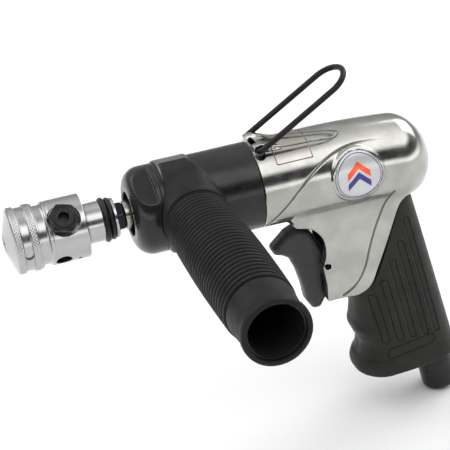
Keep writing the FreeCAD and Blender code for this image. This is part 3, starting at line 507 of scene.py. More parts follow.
TURNED = (60, 1, 1)
ALONG_X = (1, 25, 25)
# In each finish, the hollow darkening and the dark engraved lines are painted shade.
FINISHES = {
    "polished_aluminium": dict(
        colour=(0.46, 0.455, 0.43), tint=(0.38, 0.378, 0.355), metallic=1.0, rough=(0.14, 0.20),
        patch=14.0, grain=0.5, depth=0.002, lines=(ALONG_X, 6.0, 0.002), painted_shade=0.8,
        foil=("label", (0.47, 0.41, 0.38)),
        engraved=[("groove", 0.62, 0.72), ("tongue", 0.30, 0.85), ("label", 0.26, 0.75)]),
    "badge_face": dict(
        colour=(0.60, 0.61, 0.62), tint=(0.56, 0.57, 0.585), metallic=0.35, rough=(0.30, 0.34),
        patch=9.0, grain=0.15, depth=0.0004, inks=[(0.86, 0.085, 0.01), (0.035, 0.02, 0.22)],
        surface={"Coat Weight": 0.6, "Coat Roughness": 0.06}),
    "grip_rubber": dict(
        colour=(0.014, 0.014, 0.012), tint=(0.009, 0.009, 0.008), metallic=0.0, rough=(0.42, 0.54),
        patch=10.0, grain=0.35, depth=0.02, wear=(0.06, 0.06, 0.055), painted_shade=0.6,
        engraved=[("flute", 0.36, 0.85)], surface={"Specular IOR Level": 0.25}),
    "black_housing": dict(
        colour=(0.008, 0.008, 0.009), tint=(0.013, 0.013, 0.014), metallic=0.2, rough=(0.21, 0.28),
        patch=9.0, grain=0.2, depth=0.003, lines=(TURNED, 9.0, 0.002), wear=(0.10, 0.10, 0.10)),
    "clamp_black": dict(
        colour=(0.009, 0.009, 0.009), tint=(0.014, 0.014, 0.014), metallic=0.0, rough=(0.48, 0.58),
        patch=7.0, grain=0.3, depth=0.02, wear=(0.05, 0.05, 0.05),
        surface={"Specular IOR Level": 0.2}),
    "handle_rubber": dict(
        colour=(0.007, 0.007, 0.007), tint=(0.011, 0.011, 0.011), metallic=0.0, rough=(0.46, 0.58),
        patch=12.0, grain=0.3, depth=0.015, wear=(0.04, 0.04, 0.04),
        surface={"Specular IOR Level": 0.2}),
    "strap_steel": dict(
        colour=(0.33, 0.30, 0.275), tint=(0.27, 0.245, 0.23), metallic=1.0, rough=(0.32, 0.44),
        patch=5.0, grain=0.3, depth=0.004, lines=((30, 1, 1), 8.0, 0.004)),
    "holder_steel": dict(
        colour=(0.48, 0.48, 0.48), tint=(0.44, 0.44, 0.44), metallic=1.0, rough=(0.19, 0.24),
        patch=16.0, grain=0.2, depth=0.0006, lines=(TURNED, 12.0, 0.0004), painted_shade=0.85),
    "black_oxide": dict(
        colour=(0.007, 0.007, 0.009), tint=(0.013, 0.013, 0.015), metallic=0.2, rough=(0.26, 0.36),
        patch=3.0, grain=0.2, depth=0.004, wear=(0.16, 0.16, 0.17),
        surface={"Specular IOR Level": 0.25}),
    "ground_steel": dict(
        colour=(0.46, 0.43, 0.36), tint=(0.40, 0.38, 0.33), metallic=1.0, rough=(0.18, 0.28),
        patch=5.0, grain=0.2, depth=0.003, lines=(TURNED, 8.0, 0.006)),
    "ring_rubber": dict(
        colour=(0.006, 0.006, 0.006), tint=(0.010, 0.010, 0.010), metallic=0.0, rough=(0.30, 0.42),
        patch=3.0, grain=0.2, depth=0.005, surface={"Specular IOR Level": 0.3}),
    "valve_steel": dict(
        colour=(0.48, 0.48, 0.465), tint=(0.41, 0.41, 0.40), metallic=1.0, rough=(0.22, 0.34),
        patch=5.0, grain=0.2, depth=0.004, lines=(TURNED, 8.0, 0.005)),
    "bright_disc": dict(
        colour=(0.58, 0.58, 0.58), tint=(0.53, 0.53, 0.535), metallic=1.0, rough=(0.06, 0.12),
        patch=4.0, grain=0.2, depth=0.002),
    "brass_fittings": dict(
        colour=(0.52, 0.37, 0.17), tint=(0.42, 0.29, 0.13), metallic=1.0, rough=(0.22, 0.34),
        patch=4.0, grain=0.2, depth=0.004, lines=(TURNED, 6.0, 0.006)),
    "sintered_bronze": dict(
        colour=(0.46, 0.30, 0.15), tint=(0.30, 0.19, 0.10), metallic=0.9, rough=(0.5, 0.7),
        patch=0.8, grain=0.5, depth=0.12),
    "black_plastic": dict(
        colour=(0.011, 0.011, 0.011), tint=(0.016, 0.016, 0.016), metallic=0.0, rough=(0.36, 0.46),
        patch=8.0, grain=0.35, depth=0.012, wear=(0.06, 0.06, 0.06)),
    "gloss_black": dict(
        colour=(0.010, 0.010, 0.011), tint=(0.018, 0.018, 0.019), metallic=0.1, rough=(0.16, 0.26),
        patch=6.0, grain=0.2, depth=0.002, wear=(0.09, 0.09, 0.09),
        surface={"Specular IOR Level": 0.3}),
}
MATERIALS = {slot: finish(slot, **numbers).material for slot, numbers in FINISHES.items()}
for sub_part in frame["record"]["subparts"]:
    node = frame["nodes"][sub_part["node"]]
    node.data.materials.clear()
    node.data.materials.append(MATERIALS[sub_part["material_slot"]])

# ----------------------------------------------------------------------------- casing and its trim

JOINTS = {joint["name"]: joint for joint in frame["record"]["behaviour"]["joints"]}


def pivot(joint):
    return np.array(JOINTS[joint]["pos_m"]) / MM


BARREL = 22.2
BARREL_FRONT = CASING.low[0]
DOME_START, DOME_LENGTH = 196.8, 18.0
CHEEK_HALF = 14.2
SLOT_HALF = TRIGGER.half[1] + 0.4
PIN_X, _, PIN_Z = pivot("trigger_pull")
BAIL_X, _, BAIL_Z = pivot("bail_swing")
EAR_HALF = 8.8
WIRE = 1.5
BADGE_X, BADGE_Z = BADGE.middle[0], BADGE.middle[2]
BADGE_RADIUS = BADGE.half[0]
BADGE_FACE = BADGE.half[1] - 0.9
RING_INNER, RING_OUTER = 11.15, 11.5
ARCH = [(137.7, -21.1), (138.5, -23.4), (146.5, -26.2), (151.8, -33), (152.9, -41.9), (150.8, -49.2)]
SHIN = [(152.1, -60), (151.9, -69.2)]
SEAM = [(161.1, -68.6), (168.4, -69), (175.5, -65.2), (180.5, -55.3), (186.2, -41.7),
        (193.1, -24.4), (198.6, -15.6)]
SEAM_CURVE = smooth_curve(SEAM)
CHEEK = np.vstack([smooth_curve(ARCH), SHIN, SEAM_CURVE, [(198.6, -8), (137.7, -8)]])
LUG = [(BARREL_FRONT + 0.2, 14), (BARREL_FRONT + 0.2, 23.6), (123, 24.3), (126.5, 24.3), (137, 20),
       (137, 14)]
UPPER_GROOVE = smooth_curve([(206.5, -16.8, 12), (195, -15.8, 15), (183, -14.6, 16.3),
                             (170.3, -14.6, 16.4), (158.3, -16.8, 13.9), (146.5, -20.3, 7.9),
                             (136.9, -21.8, -0.2), (128.5, -19.8, -9.5), (122.5, -14.7, -16.4)], 4)
LOWER_GROOVE = smooth_curve([(189.5, -13), (181.6, -28.9), (176.8, -41.3), (172.8, -54.2),
                             (167.5, -62.5), (159.6, -66.8)], 4)
TONGUE = smooth_curve([(121, 6.6), (131, 4.1), (141.7, 1.1), (153.6, -2.4), (162.5, -4.6),
                       (165.9, -7), (164, -9.4), (160, -9.8), (151, -9.2), (138, -8.7), (121, -7.6)], 4)
LABEL = (131.0, 149.3, 43.0, 137.0)


def droop(x):
    """Height of the barrel's centre line, which falls towards the rear."""
    return -3.8 * (np.clip(x - 150, 0, None) / 65) ** 2


def barrel_field(x, y, z):
    """Round part of the casing, with its domed rear end."""
    radial = np.hypot(y, z - droop(x))
    reach = BARREL - 0.3 * np.clip((x - 170) / 27, 0, 1)
    end = np.clip(x - DOME_START, 0, None) / DOME_LENGTH
    near = np.hypot(radial / reach, end)
    far = np.hypot(radial / reach**2, end / DOME_LENGTH)
    dome = np.maximum(near, 0.2) * (near - 1) / np.maximum(far, 0.2 / BARREL)
    return crossed(dome, BARREL_FRONT + 0.05 - x, 0.45)


def casing_field(x, y, z):
    """Outside of the motor casing. It is filled: the CAD's bores and grip core are left out."""
    side = abs(y)
    seam_gap = path_distance((x, z), SEAM_CURVE)
    flare = 1.2 * np.clip(1 - seam_gap / 9, 0, 1) ** 2
    cheeks = crossed(outline_distance(x, z, CHEEK), side - CHEEK_HALF - flare, 1.6)
    badge = np.hypot(x - BADGE_X, z - BADGE_Z)
    radial = np.hypot(y, z)
    boss = crossed(radial - BADGE_FACE - 0.6, badge - BADGE_RADIUS - 1.7, 0.6)
    shell = either(either(barrel_field(x, y, z), cheeks, 4.5), boss, 1.0)
    seat = np.maximum(badge - BADGE_RADIUS - 0.12, BADGE_FACE - radial)
    shell = without(shell, seat, 0.2)
    lug = crossed(outline_distance(x, z, LUG), side - EAR_HALF, 0.6)
    scoop = np.hypot(y, z - 27.4) - 6.2
    shell = either(shell, without(lug, scoop, 0.8), 1.2)
    pin = np.hypot(x - BAIL_X, z - BAIL_Z)
    shell = without(shell, can(side, pin, EAR_HALF, EAR_HALF + 4.4, WIRE + 1.7, 0.3), 0.5)
    shell = without(shell, pin - WIRE - 0.1, 0.2)
    slot = np.maximum(np.maximum(slab(x, 130, 160), side - SLOT_HALF), slab(z, -80, -23.6))
    shell = without(shell, slot, 0.9)
    return without(shell, np.hypot(x - PIN_X, z - PIN_Z) - 1.6, 0.3)


def groove_mark(x, y, z):
    """Distance to the engraved lines that sweep over the barrel and down the cheeks."""
    upper = path_distance((x, -abs(y), z), UPPER_GROOVE)
    lower = path_distance((x, z), LOWER_GROOVE) + 3 * np.clip(10 - abs(y), 0, 1)
    return np.minimum(upper, lower)


def tongue_mark(x, y, z):
    """Signed distance to the outline of the tongue along the top, negative inside it."""
    return np.where((z > 8) & (x > BAIL_X + 3.2), outline_distance(x, y, TONGUE), 9.0)


def label_mark(x, y, z):
    """Signed distance to the edge of the foil label, negative on the label."""
    degrees = np.degrees(np.arctan2(z, -y))
    along, around = slab(x, *LABEL[:2]), np.radians(slab(degrees, *LABEL[2:])) * BARREL
    return np.maximum(along, around)


def casing_detail(x, y, z):
    cut = engraving(groove_mark(x, y, z), 0.42, 0.5)
    cut += engraving(tongue_mark(x, y, z), 0.22, 0.28)
    foil = 0.06 * np.clip(0.5 - label_mark(x, y, z) / 0.2, 0, 1)
    return casing_field(x, y, z) + cut - foil


def make_casing():
    margin = 0.6
    low = (CASING.low[0] - margin, CASING.low[1] - margin, CHEEK[:, 1].min() - margin)
    net_piece("casing", casing_field, low, CASING.high + margin, 0.55, "polished_aluminium",
              "housing", ["motor_casing"], casing_detail,
              {"groove": groove_mark, "tongue": tongue_mark, "label": label_mark})


def make_bail():
    """Wire bail: pivots bent inward, two legs and a half circle."""
    half = BAIL.half[1] - WIRE
    length, bend, angle = 57.0 - half, 2.2, math.radians(30.6)
    leg = [(0, EAR_HALF - 2.5), (0, half - bend)]
    leg += [(bend * (1 - math.cos(t)), half - bend * (1 - math.sin(t)))
            for t in np.radians(np.arange(10, 91, 10))]
    leg += [(length * share, half) for share in (0.3, 0.55, 0.8)]
    loop = [(length + half * math.cos(t), half * math.sin(t)) for t in np.radians(np.arange(84, -85, -6))]
    flat = leg + loop + [(u, -v) for u, v in leg[::-1]]
    path = [(BAIL_X + u * math.cos(angle), v, BAIL_Z + u * math.sin(angle)) for u, v in flat]
    pipe("hanging_bail_wire", path, WIRE, "black_oxide", "bail", ["hanging_bail"])


def make_trigger():
    outline = rounded([(127, -37.2), (129, -41.2), (132.5, -42.2), (136.2, -44.6),
                       (139.6, -52.5), (142.1, -62.6), (143.3, -71.4), (146.3, -76.6),
                       (150.4, -76.4), (154.6, -69.9), (155, -66), (154, -64.5), (154, -57),
                       (156.6, -53.2), (157.7, -49), (155.6, -44.6), (151.5, -36.5), (147.5, -29.8),
                       (141, -27.9), (135.6, -29.8)], 2.5)

    def field(x, y, z):
        plate = outline_distance(x, z, outline)
        belly = 1.4 * np.clip((148 - x) / 14, 0, 1)
        lever = crossed(plate, abs(y) - TRIGGER.half[1] + belly, 4.0)
        return without(lever, np.hypot(x - PIN_X, z - PIN_Z) - WIRE - 0.1, 0.1)

    net_piece("trigger_lever_moulding", field, TRIGGER.low - 0.6, TRIGGER.high + 0.6, 0.33,
              "black_plastic", "trigger_lever", ["trigger"])
    half = Span("trigger_pin").half[1]
    lathe("trigger_roll_pin", [(-half, 0.7), (-half, 1.48), (half, 1.48), (half, 0.7)],
          "black_oxide", "housing", ["trigger_pin"], (0, 1, 0), (PIN_X, 0, PIN_Z), 40, 0.2)


def bent(points):
    """Points pushed along Y until their |y| is their distance from the tool's axis instead."""
    points = np.array(points, float)
    points[:, 1] = np.sign(points[:, 1]) * np.sqrt(points[:, 1] ** 2 - points[:, 2] ** 2)
    return points


def make_badge_ring(name, side, outline, number, nodes=()):
    """Disc or ring turned about the badge's middle and bent round the barrel."""
    points, faces, _ = revolve(outline, 96, (0, side, 0), (BADGE_X, 0, BADGE_Z))
    build(name, bent(points), faces, "badge_face", "housing", nodes, marks={"ink": number})


def make_chevron(name, side, tip, number):
    """Printed chevron with its point tip millimetres above the badge's middle."""
    low, high = side * (BADGE_FACE + 0.6), side * (BADGE_FACE + 0.88)
    columns, rim = 13, 6
    points = []
    for u in np.linspace(-6, 6, columns):
        head = BADGE_Z + tip - 0.9 * abs(u)
        points += [(BADGE_X + u, high, head - drop) for drop in (0, 1.7, 3.4)]
        points += [(BADGE_X + u, low, head - drop) for drop in (3.4, 1.7, 0)]
    faces = tube_faces(columns, rim)
    if side > 0:
        faces = [face[::-1] for face in faces]
    build(name, bent(points), faces, "badge_face", "housing", marks={"ink": number})


def make_badges():
    """A curved disc each side, with a thin ring and two plain chevrons printed on it."""
    face = BADGE_FACE + 0.78
    for side, word in ((-1, "near"), (1, "far")):
        disc = [(BADGE_FACE + 0.05, 0.02)]
        disc += [(BADGE_FACE + 0.05, share * BADGE_RADIUS) for share in (0.25, 0.5, 0.75, 1)]
        disc += [(face - 0.35, BADGE_RADIUS), (face - 0.12, BADGE_RADIUS - 0.25)]
        disc += [(face, BADGE_RADIUS - 0.7 - step) for step in np.linspace(0, BADGE_RADIUS - 0.72, 8)]
        make_badge_ring(f"badge_{word}", side, disc, 0, ["badge_discs"])
        ring = [(face - 0.15, RING_INNER), (face + 0.05, RING_INNER), (face + 0.05, RING_OUTER),
                (face - 0.15, RING_OUTER)]
        make_badge_ring(f"badge_ring_{word}", side, ring, 2)
        make_chevron(f"badge_mark_upper_{word}", side, 7.6, 1)
        make_chevron(f"badge_mark_lower_{word}", side, 2.4, 2)


# ------------------------------------------------------------------------------------ pistol grip

GRIP_STATIONS = [(-6, 169, 13), (-10, 169, 13.2), (-30, 168.2, 14.6), (-50, 168, 15.8),
                 (-68, 168.3, 16.6), (-76, 168.6, 16.9), (-82, 168.9, 17), (-89, 168.2, 17),
                 (-94, 167.2, 17), (-99, 169, 17), (-104, 171, 17), (-108, 170.8, 17.1),
                 (-112, 169.6, 17.2), (-117, 167.8, 17.5), (-121.6, 168.4, 17.3), (-125, 169, 17)]
GRIP_LEAN = 0.2125
FLUTE_LEAN = 0.19
FLUTES = [(161.7, -71.0, 1.9), (169.6, -63.0, 1.9), (177.0, -52.5, 1.8), (184.0, -43.0, 1.8),
          (190.6, -31.0, 1.7)]
FLUTE_FOOT = -101.5
PLATE_X, PLATE_Z = 194.5, -106.4
GRIP_REAR = 201.25
GRIP_CURVE = smooth_curve(GRIP_STATIONS[::-1], 5)
GRIP_REGION = np.vstack([[(150, -69), (161.1, -69)], smooth_curve(SEAM[1:]),
                         [(201, -9), (240, -9), (240, -135), (150, -135)]])
INLET_X, INLET_Z, INLET_LEAN = 213, -122, math.radians(11)


def foot_height(x):
    """Height of the grip's underside, which rises gently to the rear."""
    return GRIP.low[2] + 0.05 + 4.2 * np.clip((x - 190) / 34, 0, 1) ** 2


def bush_axes(x, y, z):
    """Distance down the inlet's axis from the grip's foot, and out from it."""
    along, drop = x - INLET_X, z - INLET_Z
    down = along * math.sin(INLET_LEAN) - drop * math.cos(INLET_LEAN)
    return down, np.hypot(along * math.cos(INLET_LEAN) + drop * math.sin(INLET_LEAN), y)


def grip_field(x, y, z):
    """Outside of the rubber cover, filled where the CAD has the casing's core inside it."""
    front = np.interp(z, GRIP_CURVE[:, 0], GRIP_CURVE[:, 1])
    half = np.interp(z, GRIP_CURVE[:, 0], GRIP_CURVE[:, 2])
    rear = GRIP_REAR + GRIP_LEAN * (-10 - z)
    round_off = np.where(x < (front + rear) / 2, 0.88, 0.8) * half
    section = crossed(slab(x, front, rear), abs(y) - half, round_off)
    behind = outline_distance(x, z, GRIP_REGION) + 0.25
    cover = crossed(section, behind, 0.7)
    cover = without(cover, barrel_field(x, y, z) - 0.25, 0.4)
    cover = crossed(cover, foot_height(x) - z, 1.4)
    down, radial = bush_axes(x, y, z)
    return without(cover, can(down, radial, -4.4, 30, 10.4, 0.6), 0.6)


def flute_distance(x, z, centre, top, half):
    """Signed distance to the outline of one long pad, which leans with the grip."""
    over = np.clip(z - top + half, 0, None) + np.clip(FLUTE_FOOT + half - z, 0, None)
    return np.hypot(x + FLUTE_LEAN * z - centre, over) - half


def flute_mark(x, y, z):
    """Signed distance to the outlines of the pads on the grip's sides, negative inside them."""
    u, v = x - PLATE_X, z - PLATE_Z - 0.147 * (x - PLATE_X)
    nearest = np.hypot(np.clip(abs(u) - 10.2, 0, None), v) - 3.0
    for flute in FLUTES:
        nearest = np.minimum(nearest, flute_distance(x, z, *flute))
    return np.where(abs(y) > 9, nearest, 9.0)


def grip_detail(x, y, z):
    cut = engraving(flute_mark(x, y, z), 0.35, 0.38)
    for flute in FLUTES[2:]:
        cut += 0.45 * np.clip(0.5 - flute_distance(x, z, *flute) / 0.8, 0, 1) * (abs(y) > 6)
    ledge = z + 112.6 - 3.2 * np.clip((x - 172) / 30, -0.6, 1) ** 2
    lip = 0.7 * np.clip(0.5 - ledge / 1.2, 0, 1) * np.clip((203 - x) / 24, 0, 1)
    return grip_field(x, y, z) + cut - lip


def make_grip():
    net_piece("grip_rubber", grip_field, GRIP.low - 0.8, GRIP.high + 0.8, 0.55, "grip_rubber",
              "housing", ["grip_cover"], grip_detail, {"flute": flute_mark})


def make_inlet():
    pitch = 1.4
    threads = []
    for i in range(9):
        threads += [(20.6 - pitch * i, 5.7), (20.1 - pitch * i, 5.2), (19.7 - pitch * i, 5.2),
                    (19.2 - pitch * i, 5.7)]
    outline = [(-2, 3.3), (-2, 9.5), (0.9, 9.5), (1.5, 10), (21.9, 10, 2.6), (21.9, 6.5), (21.2, 5.7)]
    outline += threads + [(8, 5.7), (8, 3.3)]
    lathe("inlet_bush_turned", outline, "gloss_black", "housing", ["inlet_bush"],
          (math.sin(INLET_LEAN), 0, -math.cos(INLET_LEAN)), (INLET_X, 0, INLET_Z), 96, 0.18)


# ------------------------------------------------------------------------ front housing and nose


WRENCH_FLATS = (60, 240)


def make_front():
    lathe("front_housing_tube", [(HOUSING.low[0], 17.2), (HOUSING.low[0], HOUSING.half[1]),
                                 (BARREL_FRONT - 0.08, HOUSING.half[1]), (BARREL_FRONT - 0.08, 17.2)],
          "black_housing", "housing", ["front_housing"], turns=180, ease=0.5)

    front, rear, radius = NOSE.low[0], HOUSING.low[0], NOSE.half[1]

    def field(x, y, z):
        radial = np.hypot(y, z)
        cap = crossed(can(x, radial, front, front + 40, radius, 9.0), x - rear + 0.04, 0.4)
        cap = without(cap, can(x, radial, front - 10, front + 6, 11.0, 0.6), 0.7)
        cap = without(cap, radial - 7.25, 0.2)
        for degrees in WRENCH_FLATS:
            out, _, _ = side_axes(x, y, z, 0, degrees)
            flat = crossed(19.2 - out, slab(x, front - 20, front + 12), 0.8)
            cap = without(cap, flat, 0.35)
        return cap

    net_piece("nose_cap_turned", field, (front - 0.6, -radius - 0.6, -radius - 0.6),
              (rear + 0.6, radius + 0.6, radius + 0.6), 0.36, "black_housing", "housing",
              ["nose_cap"])
    lathe("guide_sleeve_turned", [(55.4, 5.06), (55.4, 7.2), (74, 7.2), (74, 12.9), (77, 12.9),
                                  (77, 5.06)], "ground_steel", "housing", ["guide_sleeve"], ease=0.35)


# ------------------------------------------------------------------------ tool holder and collar

BOLT_X, BOLT_ANGLE, BOLT_SEAT, BOLT_FLATS = 24.7, 44.0, 13.2, 13.6
BOLT_TURN = math.radians(15)
TOOL_BORE_DEPTH = 30
HOLDER_RADIUS, TENON_RADIUS, SHANK_RADIUS = 15.8, 14.6, 10.0
# Holes across the tool's axis: place, degrees above -Y, radius, and floor above the axis.
SPANNER_HOLE = (5.4, -8.7, 1.8, 5)
HOLDER_HOLES = [(BOLT_X, BOLT_ANGLE, 7.95, BOLT_SEAT), (BOLT_X, BOLT_ANGLE, 4.05, 0),
                (21.6, -42.0, 3.9, 2.0), (29.6, -47.0, 0.9, 10.0)]
COLLAR_OUTLINE = rounded([
    (COLLAR.low[0], 4.4, 0.5), (-0.6, 15.6), (0.1, 16.4), (3.1, 16.4), (3.4, 15.7), (7.3, 15.7),
    (7.6, 16.4), (10.8, 16.4), (11, 16.0), (12, 16.0), (12, 14.66), (1.3, 14.66), (1.3, 9.3),
    (-0.3, 9.3), (-0.3, 8.8), (-1, 8.8), (-1, 4.4)], 0.22, 2)
KNURL_TEETH, KNURL_DEPTH = 66, 0.30


def collar_field(x, y, z):
    """Screw collar without its knurl."""
    radial = np.hypot(y, z)
    profile = outline_distance(x, radial, COLLAR_OUTLINE)
    return without(profile, drilling(x, y, z, *SPANNER_HOLE), 0.25)


def collar_detail(x, y, z):
    """Diamond knurl: two families of shallow grooves that cross on the two outer bands."""
    turn = np.arctan2(z, y) / (2 * math.pi) * KNURL_TEETH
    pitch = 2 * math.pi * COLLAR.half[1] / KNURL_TEETH
    bands = np.clip(1.45 - abs(x - 1.6), 0, 0.3) + np.clip(1.45 - abs(x - 9.2), 0, 0.3)
    depth = 0
    for way in (-1, 1):
        phase = turn + way * x / pitch
        depth = np.maximum(depth, engraving(phase - np.round(phase), 1, 0.26))
    outer = np.clip(np.hypot(y, z) - 16.0, 0, 0.4) / 0.4
    return collar_field(x, y, z) + KNURL_DEPTH * depth * bands / 0.3 * outer


def make_collar():
    reach = COLLAR.half[1] + 0.5
    net_piece("screw_collar_knurled", collar_field, (COLLAR.low[0] - 0.5, -reach, -reach),
              (COLLAR.high[0] + 0.5, reach, reach), 0.27, "holder_steel", "collar", ["collar_cap"],
              collar_detail)


def holder_field(x, y, z):
    """Tool holder: nose, tenon, body and grooved shank, with its holes."""
    radial = np.hypot(y, z)
    body = np.maximum(can(x, radial, 15.6, 35.1, HOLDER_RADIUS, 0.3),
                      (radial - HOLDER_RADIUS + np.maximum(16.8 - x, 0)) * 0.75)
    holder = either(body, can(x, radial, 1.0, 20, TENON_RADIUS, 0.3), 0.3)
    holder = either(holder, can(x, radial, 0, 10, 9.0, 0.3))
    holder = either(holder, can(x, radial, 30, 51.2, SHANK_RADIUS, 0.5), 0.8)
    holder = without(holder, np.maximum(slab(x, 44, 49.6), 8.05 - radial), 0.3)
    holder = without(holder, np.hypot(x - 18.3, radial - HOLDER_RADIUS - 0.1) - 0.28, 0.1)
    for hole in HOLDER_HOLES:
        holder = without(holder, drilling(x, y, z, *hole), 0.3)
    holder = without(holder, can(x, radial, -5, TOOL_BORE_DEPTH, 4.0, 0.3), 0.3)
    return without(holder, can(x, radial, 31.6, 60, 4.02, 0.3), 0.3)


def make_holder():
    net_piece("tool_holder_turned", holder_field, HOLDER.low - 0.5, HOLDER.high + 0.5, 0.34,
              "holder_steel", "spindle_unit", ["tool_holder"])

    def bolt_field(x, y, z):
        out, along, across = side_axes(x, y, z, BOLT_X, BOLT_ANGLE)
        radial = np.hypot(along, across)
        height = BOLT_SEAT + 5.05
        u = along * math.cos(BOLT_TURN) + across * math.sin(BOLT_TURN)
        v = across * math.cos(BOLT_TURN) - along * math.sin(BOLT_TURN)
        head = crossed(hexagon(u, v, BOLT_FLATS), slab(out, BOLT_SEAT + 0.05, height), 0.3)
        head = both(head, (radial - BOLT_FLATS / 2 - 0.85 + 1.7 * (out - height + 0.7)) * 0.55, 0.3)
        head = either(head, can(out, radial, BOLT_SEAT + 1, height + 0.4, 5.4, 0.8), 0.5)
        bolt = either(head, can(out, radial, 6, BOLT_SEAT + 1, 3.95, 0.3))
        bolt = either(bolt, can(out, radial, 4.4, 8, 1.5, 0.3))
        return without(bolt, can(out, radial, BOLT_SEAT + 1.2, 30, 2.7, 0.3), 0.5)

    bolt = Span("set_bolt")
    net_piece("set_bolt_head", bolt_field, bolt.low - 0.6, bolt.high + 0.6, 0.25, "black_oxide",
              "spindle_unit", ["set_bolt"])

    def nut_field(x, y, z):
        radial = np.hypot(y, z)
        nut = crossed(hexagon(y, z, 13.0), slab(x, 51.2, 55.3), 0.2)
        nut = both(nut, (radial - 6.9 + 1.5 * (x - 54.6)) * 0.55, 0.3)
        return without(nut, radial - 4.05, 0.3)

    nut = Span("lock_nut")
    net_piece("lock_nut_hexagon", nut_field, nut.low - 0.5, nut.high + 0.5, 0.22, "black_oxide",
              "spindle_unit", ["lock_nut"])
    for node, place, middle, section in (("o_ring_large", 45.5, 9.65, 1.45),
                                         ("o_ring_small", 48.35, 9.3, 1.2)):
        outline = [(place + section * math.cos(t), middle + section * math.sin(t))
                   for t in np.radians(np.arange(0, 360, 15))]
        lathe(f"{node}_moulded", outline, "ring_rubber", "spindle_unit", [node], turns=96, ease=0)


# ------------------------------------------------------------------------------------ side handle

HANDLE_X = SLEEVE.middle[0]
RIBS, RIB_START, RIB_END = 28, 27.6, 117.4
SADDLE_LOW = [(-27, 69.4), (-25.4, 69.4), (-19, 69.6), (-10, 71.4), (-1, 74.6), (1, 75.2)]
SADDLE_HIGH = [(-27, 102.6), (-25.4, 102.6), (-19, 102), (-10, 97.5), (-1, 90.8), (1, 90)]
SADDLE_HALF = [(-27, 16.4), (-25.4, 16.6), (-19, 18.6), (-10, 22), (-1, 23.6), (1, 23.7)]
SADDLE_ROUND = [(-27, 16.2), (-25.4, 16.2), (-19, 14), (-10, 7), (-1, 2), (1, 2)]


def saddle_field(x, y, z):
    """Handle saddle: a round seat for the handle that spreads into a narrow, tall block."""
    low, high = track(y, SADDLE_LOW), track(y, SADDLE_HIGH)
    half, corner = track(y, SADDLE_HALF), track(y, SADDLE_ROUND)
    section = crossed(slab(x, low, high), abs(z) - half, corner)
    block = crossed(section * 0.93, slab(y, SADDLE.low[1], SADDLE.high[1]), 0.7)
    return without(block, np.hypot(y, z) - STRAP.half[1] - 0.06, 0.25)


def make_side_handle():
    net_piece("handle_saddle_moulding", saddle_field, SADDLE.low - 0.5, SADDLE.high + 0.5, 0.42,
              "clamp_black", "handle_clamp", ["handle_saddle"])
    lathe("clamp_strap_rolled", [(STRAP.low[0], 22.1), (STRAP.low[0], STRAP.half[1]),
                                 (STRAP.high[0], STRAP.half[1]), (STRAP.high[0], 22.1)],
          "strap_steel", "handle_clamp", ["clamp_strap"], turns=180, ease=0.3)
    pitch = (RIB_END - RIB_START) / RIBS
    outline = [(25.7, 14.0), (25.7, 15.9), (26.9, 16.3), (27.3, 15.6)]
    for i in range(RIBS):
        share = (i + 0.5) / RIBS
        crest = 16 + 1.48 * math.sin(math.pi * min(1, 0.08 + 0.82 * share)) ** 0.8
        start = RIB_START + i * pitch
        outline += [(start, crest - 0.95, 0.15), (start + 0.2 * pitch, crest - 0.95, 0.15),
                    (start + 0.34 * pitch, crest - 0.12, 0.5), (start + 0.6 * pitch, crest, 0.5),
                    (start + 0.86 * pitch, crest - 0.12, 0.5)]
    end = -SLEEVE.low[1]
    outline += [(RIB_END, 15.1), (RIB_END + 0.6, 15.1), (RIB_END + 1.2, 15.95), (124, 15.6, 4),
                (131, 15.05, 4), (134.4, 15.1, 3), (136.2, 15.9, 1.2), (end, 15.75, 1.4),
                (end, 13.4, 0.8), (137.3, 13.0), (137.3, 14.0)]
    sleeve = lathe("grip_sleeve_ribbed", outline, "handle_rubber", "twist_grip", ["grip_sleeve"],
                   (0, -1, 0), (HANDLE_X, 0, 0), 144, 0.3)
    corners = np.array([corner.co for corner in sleeve.data.vertices]) / MM
    # Painted shade: the sleeve's bore is marked as a full hollow, so its finish darkens the inside.
    give_mark(sleeve.data, "cavity", np.hypot(corners[:, 0] - HANDLE_X, corners[:, 2]) < 14.4)


make_casing()
make_bail()
make_trigger()
make_badges()
make_grip()
make_inlet()
make_front()
make_collar()
make_holder()
make_side_handle()

# --------------------------------------------------------------------------- floor, light, camera

FLOOR_Z = cad_box[0][2] - 0.6 * MM
FLOOR_HALF = 8.0
TARGET = Vector((105.5, 0, -18.5)) * MM
AZIMUTH, ELEVATION, ROLL = math.radians(-14.626), math.radians(27.026), math.radians(-6.953)
DISTANCE, LENS = 752.3 * MM, 120.4
WORLD_STRENGTH = 2.2


def make_floor():
    mesh = bpy.data.meshes.new("floor")
    corners = [(-FLOOR_HALF, -FLOOR_HALF), (FLOOR_HALF, -FLOOR_HALF), (FLOOR_HALF, FLOOR_HALF),
               (-FLOOR_HALF, FLOOR_HALF)]
    mesh.from_pydata([(x, y, FLOOR_Z) for x, y in corners], [], [(0, 1, 2, 3)])
    floor = bpy.data.objects.new("floor", mesh)
    bpy.context.scene.collection.objects.link(floor)
    recipe = Recipe("floor")
    shade = recipe.mix(recipe.noise(120.0), grey(0.90), grey(0.92))
    recipe.feed(recipe.surface.inputs["Base Color"], shade)
    recipe.feed(recipe.surface.inputs["Roughness"], 0.9)
    mesh.materials.append(recipe.material)


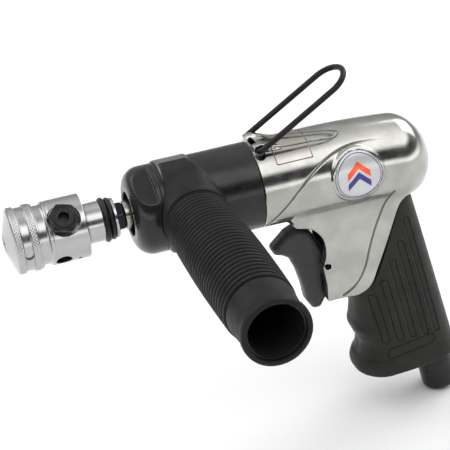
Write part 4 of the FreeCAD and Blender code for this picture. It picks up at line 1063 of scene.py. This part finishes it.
def make_world():
    """Soft studio: a low strip and a high bank towards the viewer, dark between, and a grey rear."""
    world = bpy.data.worlds.new("studio")
    bpy.context.scene.world = world
    world.use_nodes = True
    tree = world.node_tree
    back = tree.nodes["Background"]
    way = tree.nodes.new("ShaderNodeTexCoord").outputs["Generated"]
    parts = tree.nodes.new("ShaderNodeSeparateXYZ")
    tree.links.new(way, parts.inputs[0])

    def ramp(value, stops):
        node = tree.nodes.new("ShaderNodeValToRGB")
        node.color_ramp.interpolation = "EASE"
        while len(node.color_ramp.elements) < len(stops):
            node.color_ramp.elements.new(0.5)
        for element, (place, level) in zip(node.color_ramp.elements, stops):
            element.position, element.color = place, grey(level)
        tree.links.new(value, node.inputs[0])
        return node.outputs["Color"]

    front = ramp(parts.outputs["Z"], [(0.0, 1.0), (0.10, 1.0), (0.22, 0.03), (0.54, 0.03),
                                      (0.70, 1.0), (0.90, 1.0), (0.99, 0.30)])
    rear = ramp(parts.outputs["Z"], [(0.0, 0.16), (0.35, 0.22), (0.74, 0.38), (0.93, 0.44),
                                     (1.0, 0.30)])
    side = tree.nodes.new("ShaderNodeMapRange")
    side.interpolation_type = "SMOOTHSTEP"
    tree.links.new(parts.outputs["Y"], side.inputs["Value"])
    side.inputs["From Min"].default_value = -0.45
    side.inputs["From Max"].default_value = 0.45
    blend = tree.nodes.new("ShaderNodeMix")
    blend.data_type = "RGBA"
    tree.links.new(side.outputs["Result"], blend.inputs["Factor"])
    tree.links.new(front, blend.inputs["A"])
    tree.links.new(rear, blend.inputs["B"])
    tree.links.new(blend.outputs["Result"], back.inputs["Color"])
    back.inputs["Strength"].default_value = WORLD_STRENGTH


def make_light(name, place, aim, size, power, spread):
    data = bpy.data.lights.new(name, "AREA")
    data.size = size
    data.energy = power
    data.spread = math.radians(spread)
    light = bpy.data.objects.new(name, data)
    light.location = Vector(place)
    light.rotation_mode = "QUATERNION"
    light.rotation_quaternion = (Vector(aim) - light.location).to_track_quat("-Z", "Y")
    bpy.context.scene.collection.objects.link(light)


def make_camera():
    back = Vector((math.sin(AZIMUTH) * math.cos(ELEVATION), -math.cos(AZIMUTH) * math.cos(ELEVATION),
                   math.sin(ELEVATION)))
    data = bpy.data.cameras.new("camera")
    data.lens, data.sensor_width = LENS, 36.0
    data.clip_start, data.clip_end = 0.01, 50.0
    camera = bpy.data.objects.new("camera", data)
    camera.location = TARGET + back * DISTANCE
    camera.rotation_mode = "QUATERNION"
    camera.rotation_quaternion = (-back).to_track_quat("-Z", "Y") @ Quaternion((0, 0, 1), ROLL)
    bpy.context.scene.collection.objects.link(camera)
    bpy.context.scene.camera = camera


make_floor()
make_world()
make_light("left", (-0.7, 0.75, 0.85), (0.1, 0.35, -0.15), 1.0, 2.2, 110)
make_light("right", (1.35, 0.65, 0.85), (0.2, 0.3, -0.15), 1.0, 3.4, 110)
make_camera()
bpy.context.scene.view_settings.view_transform = "Standard"
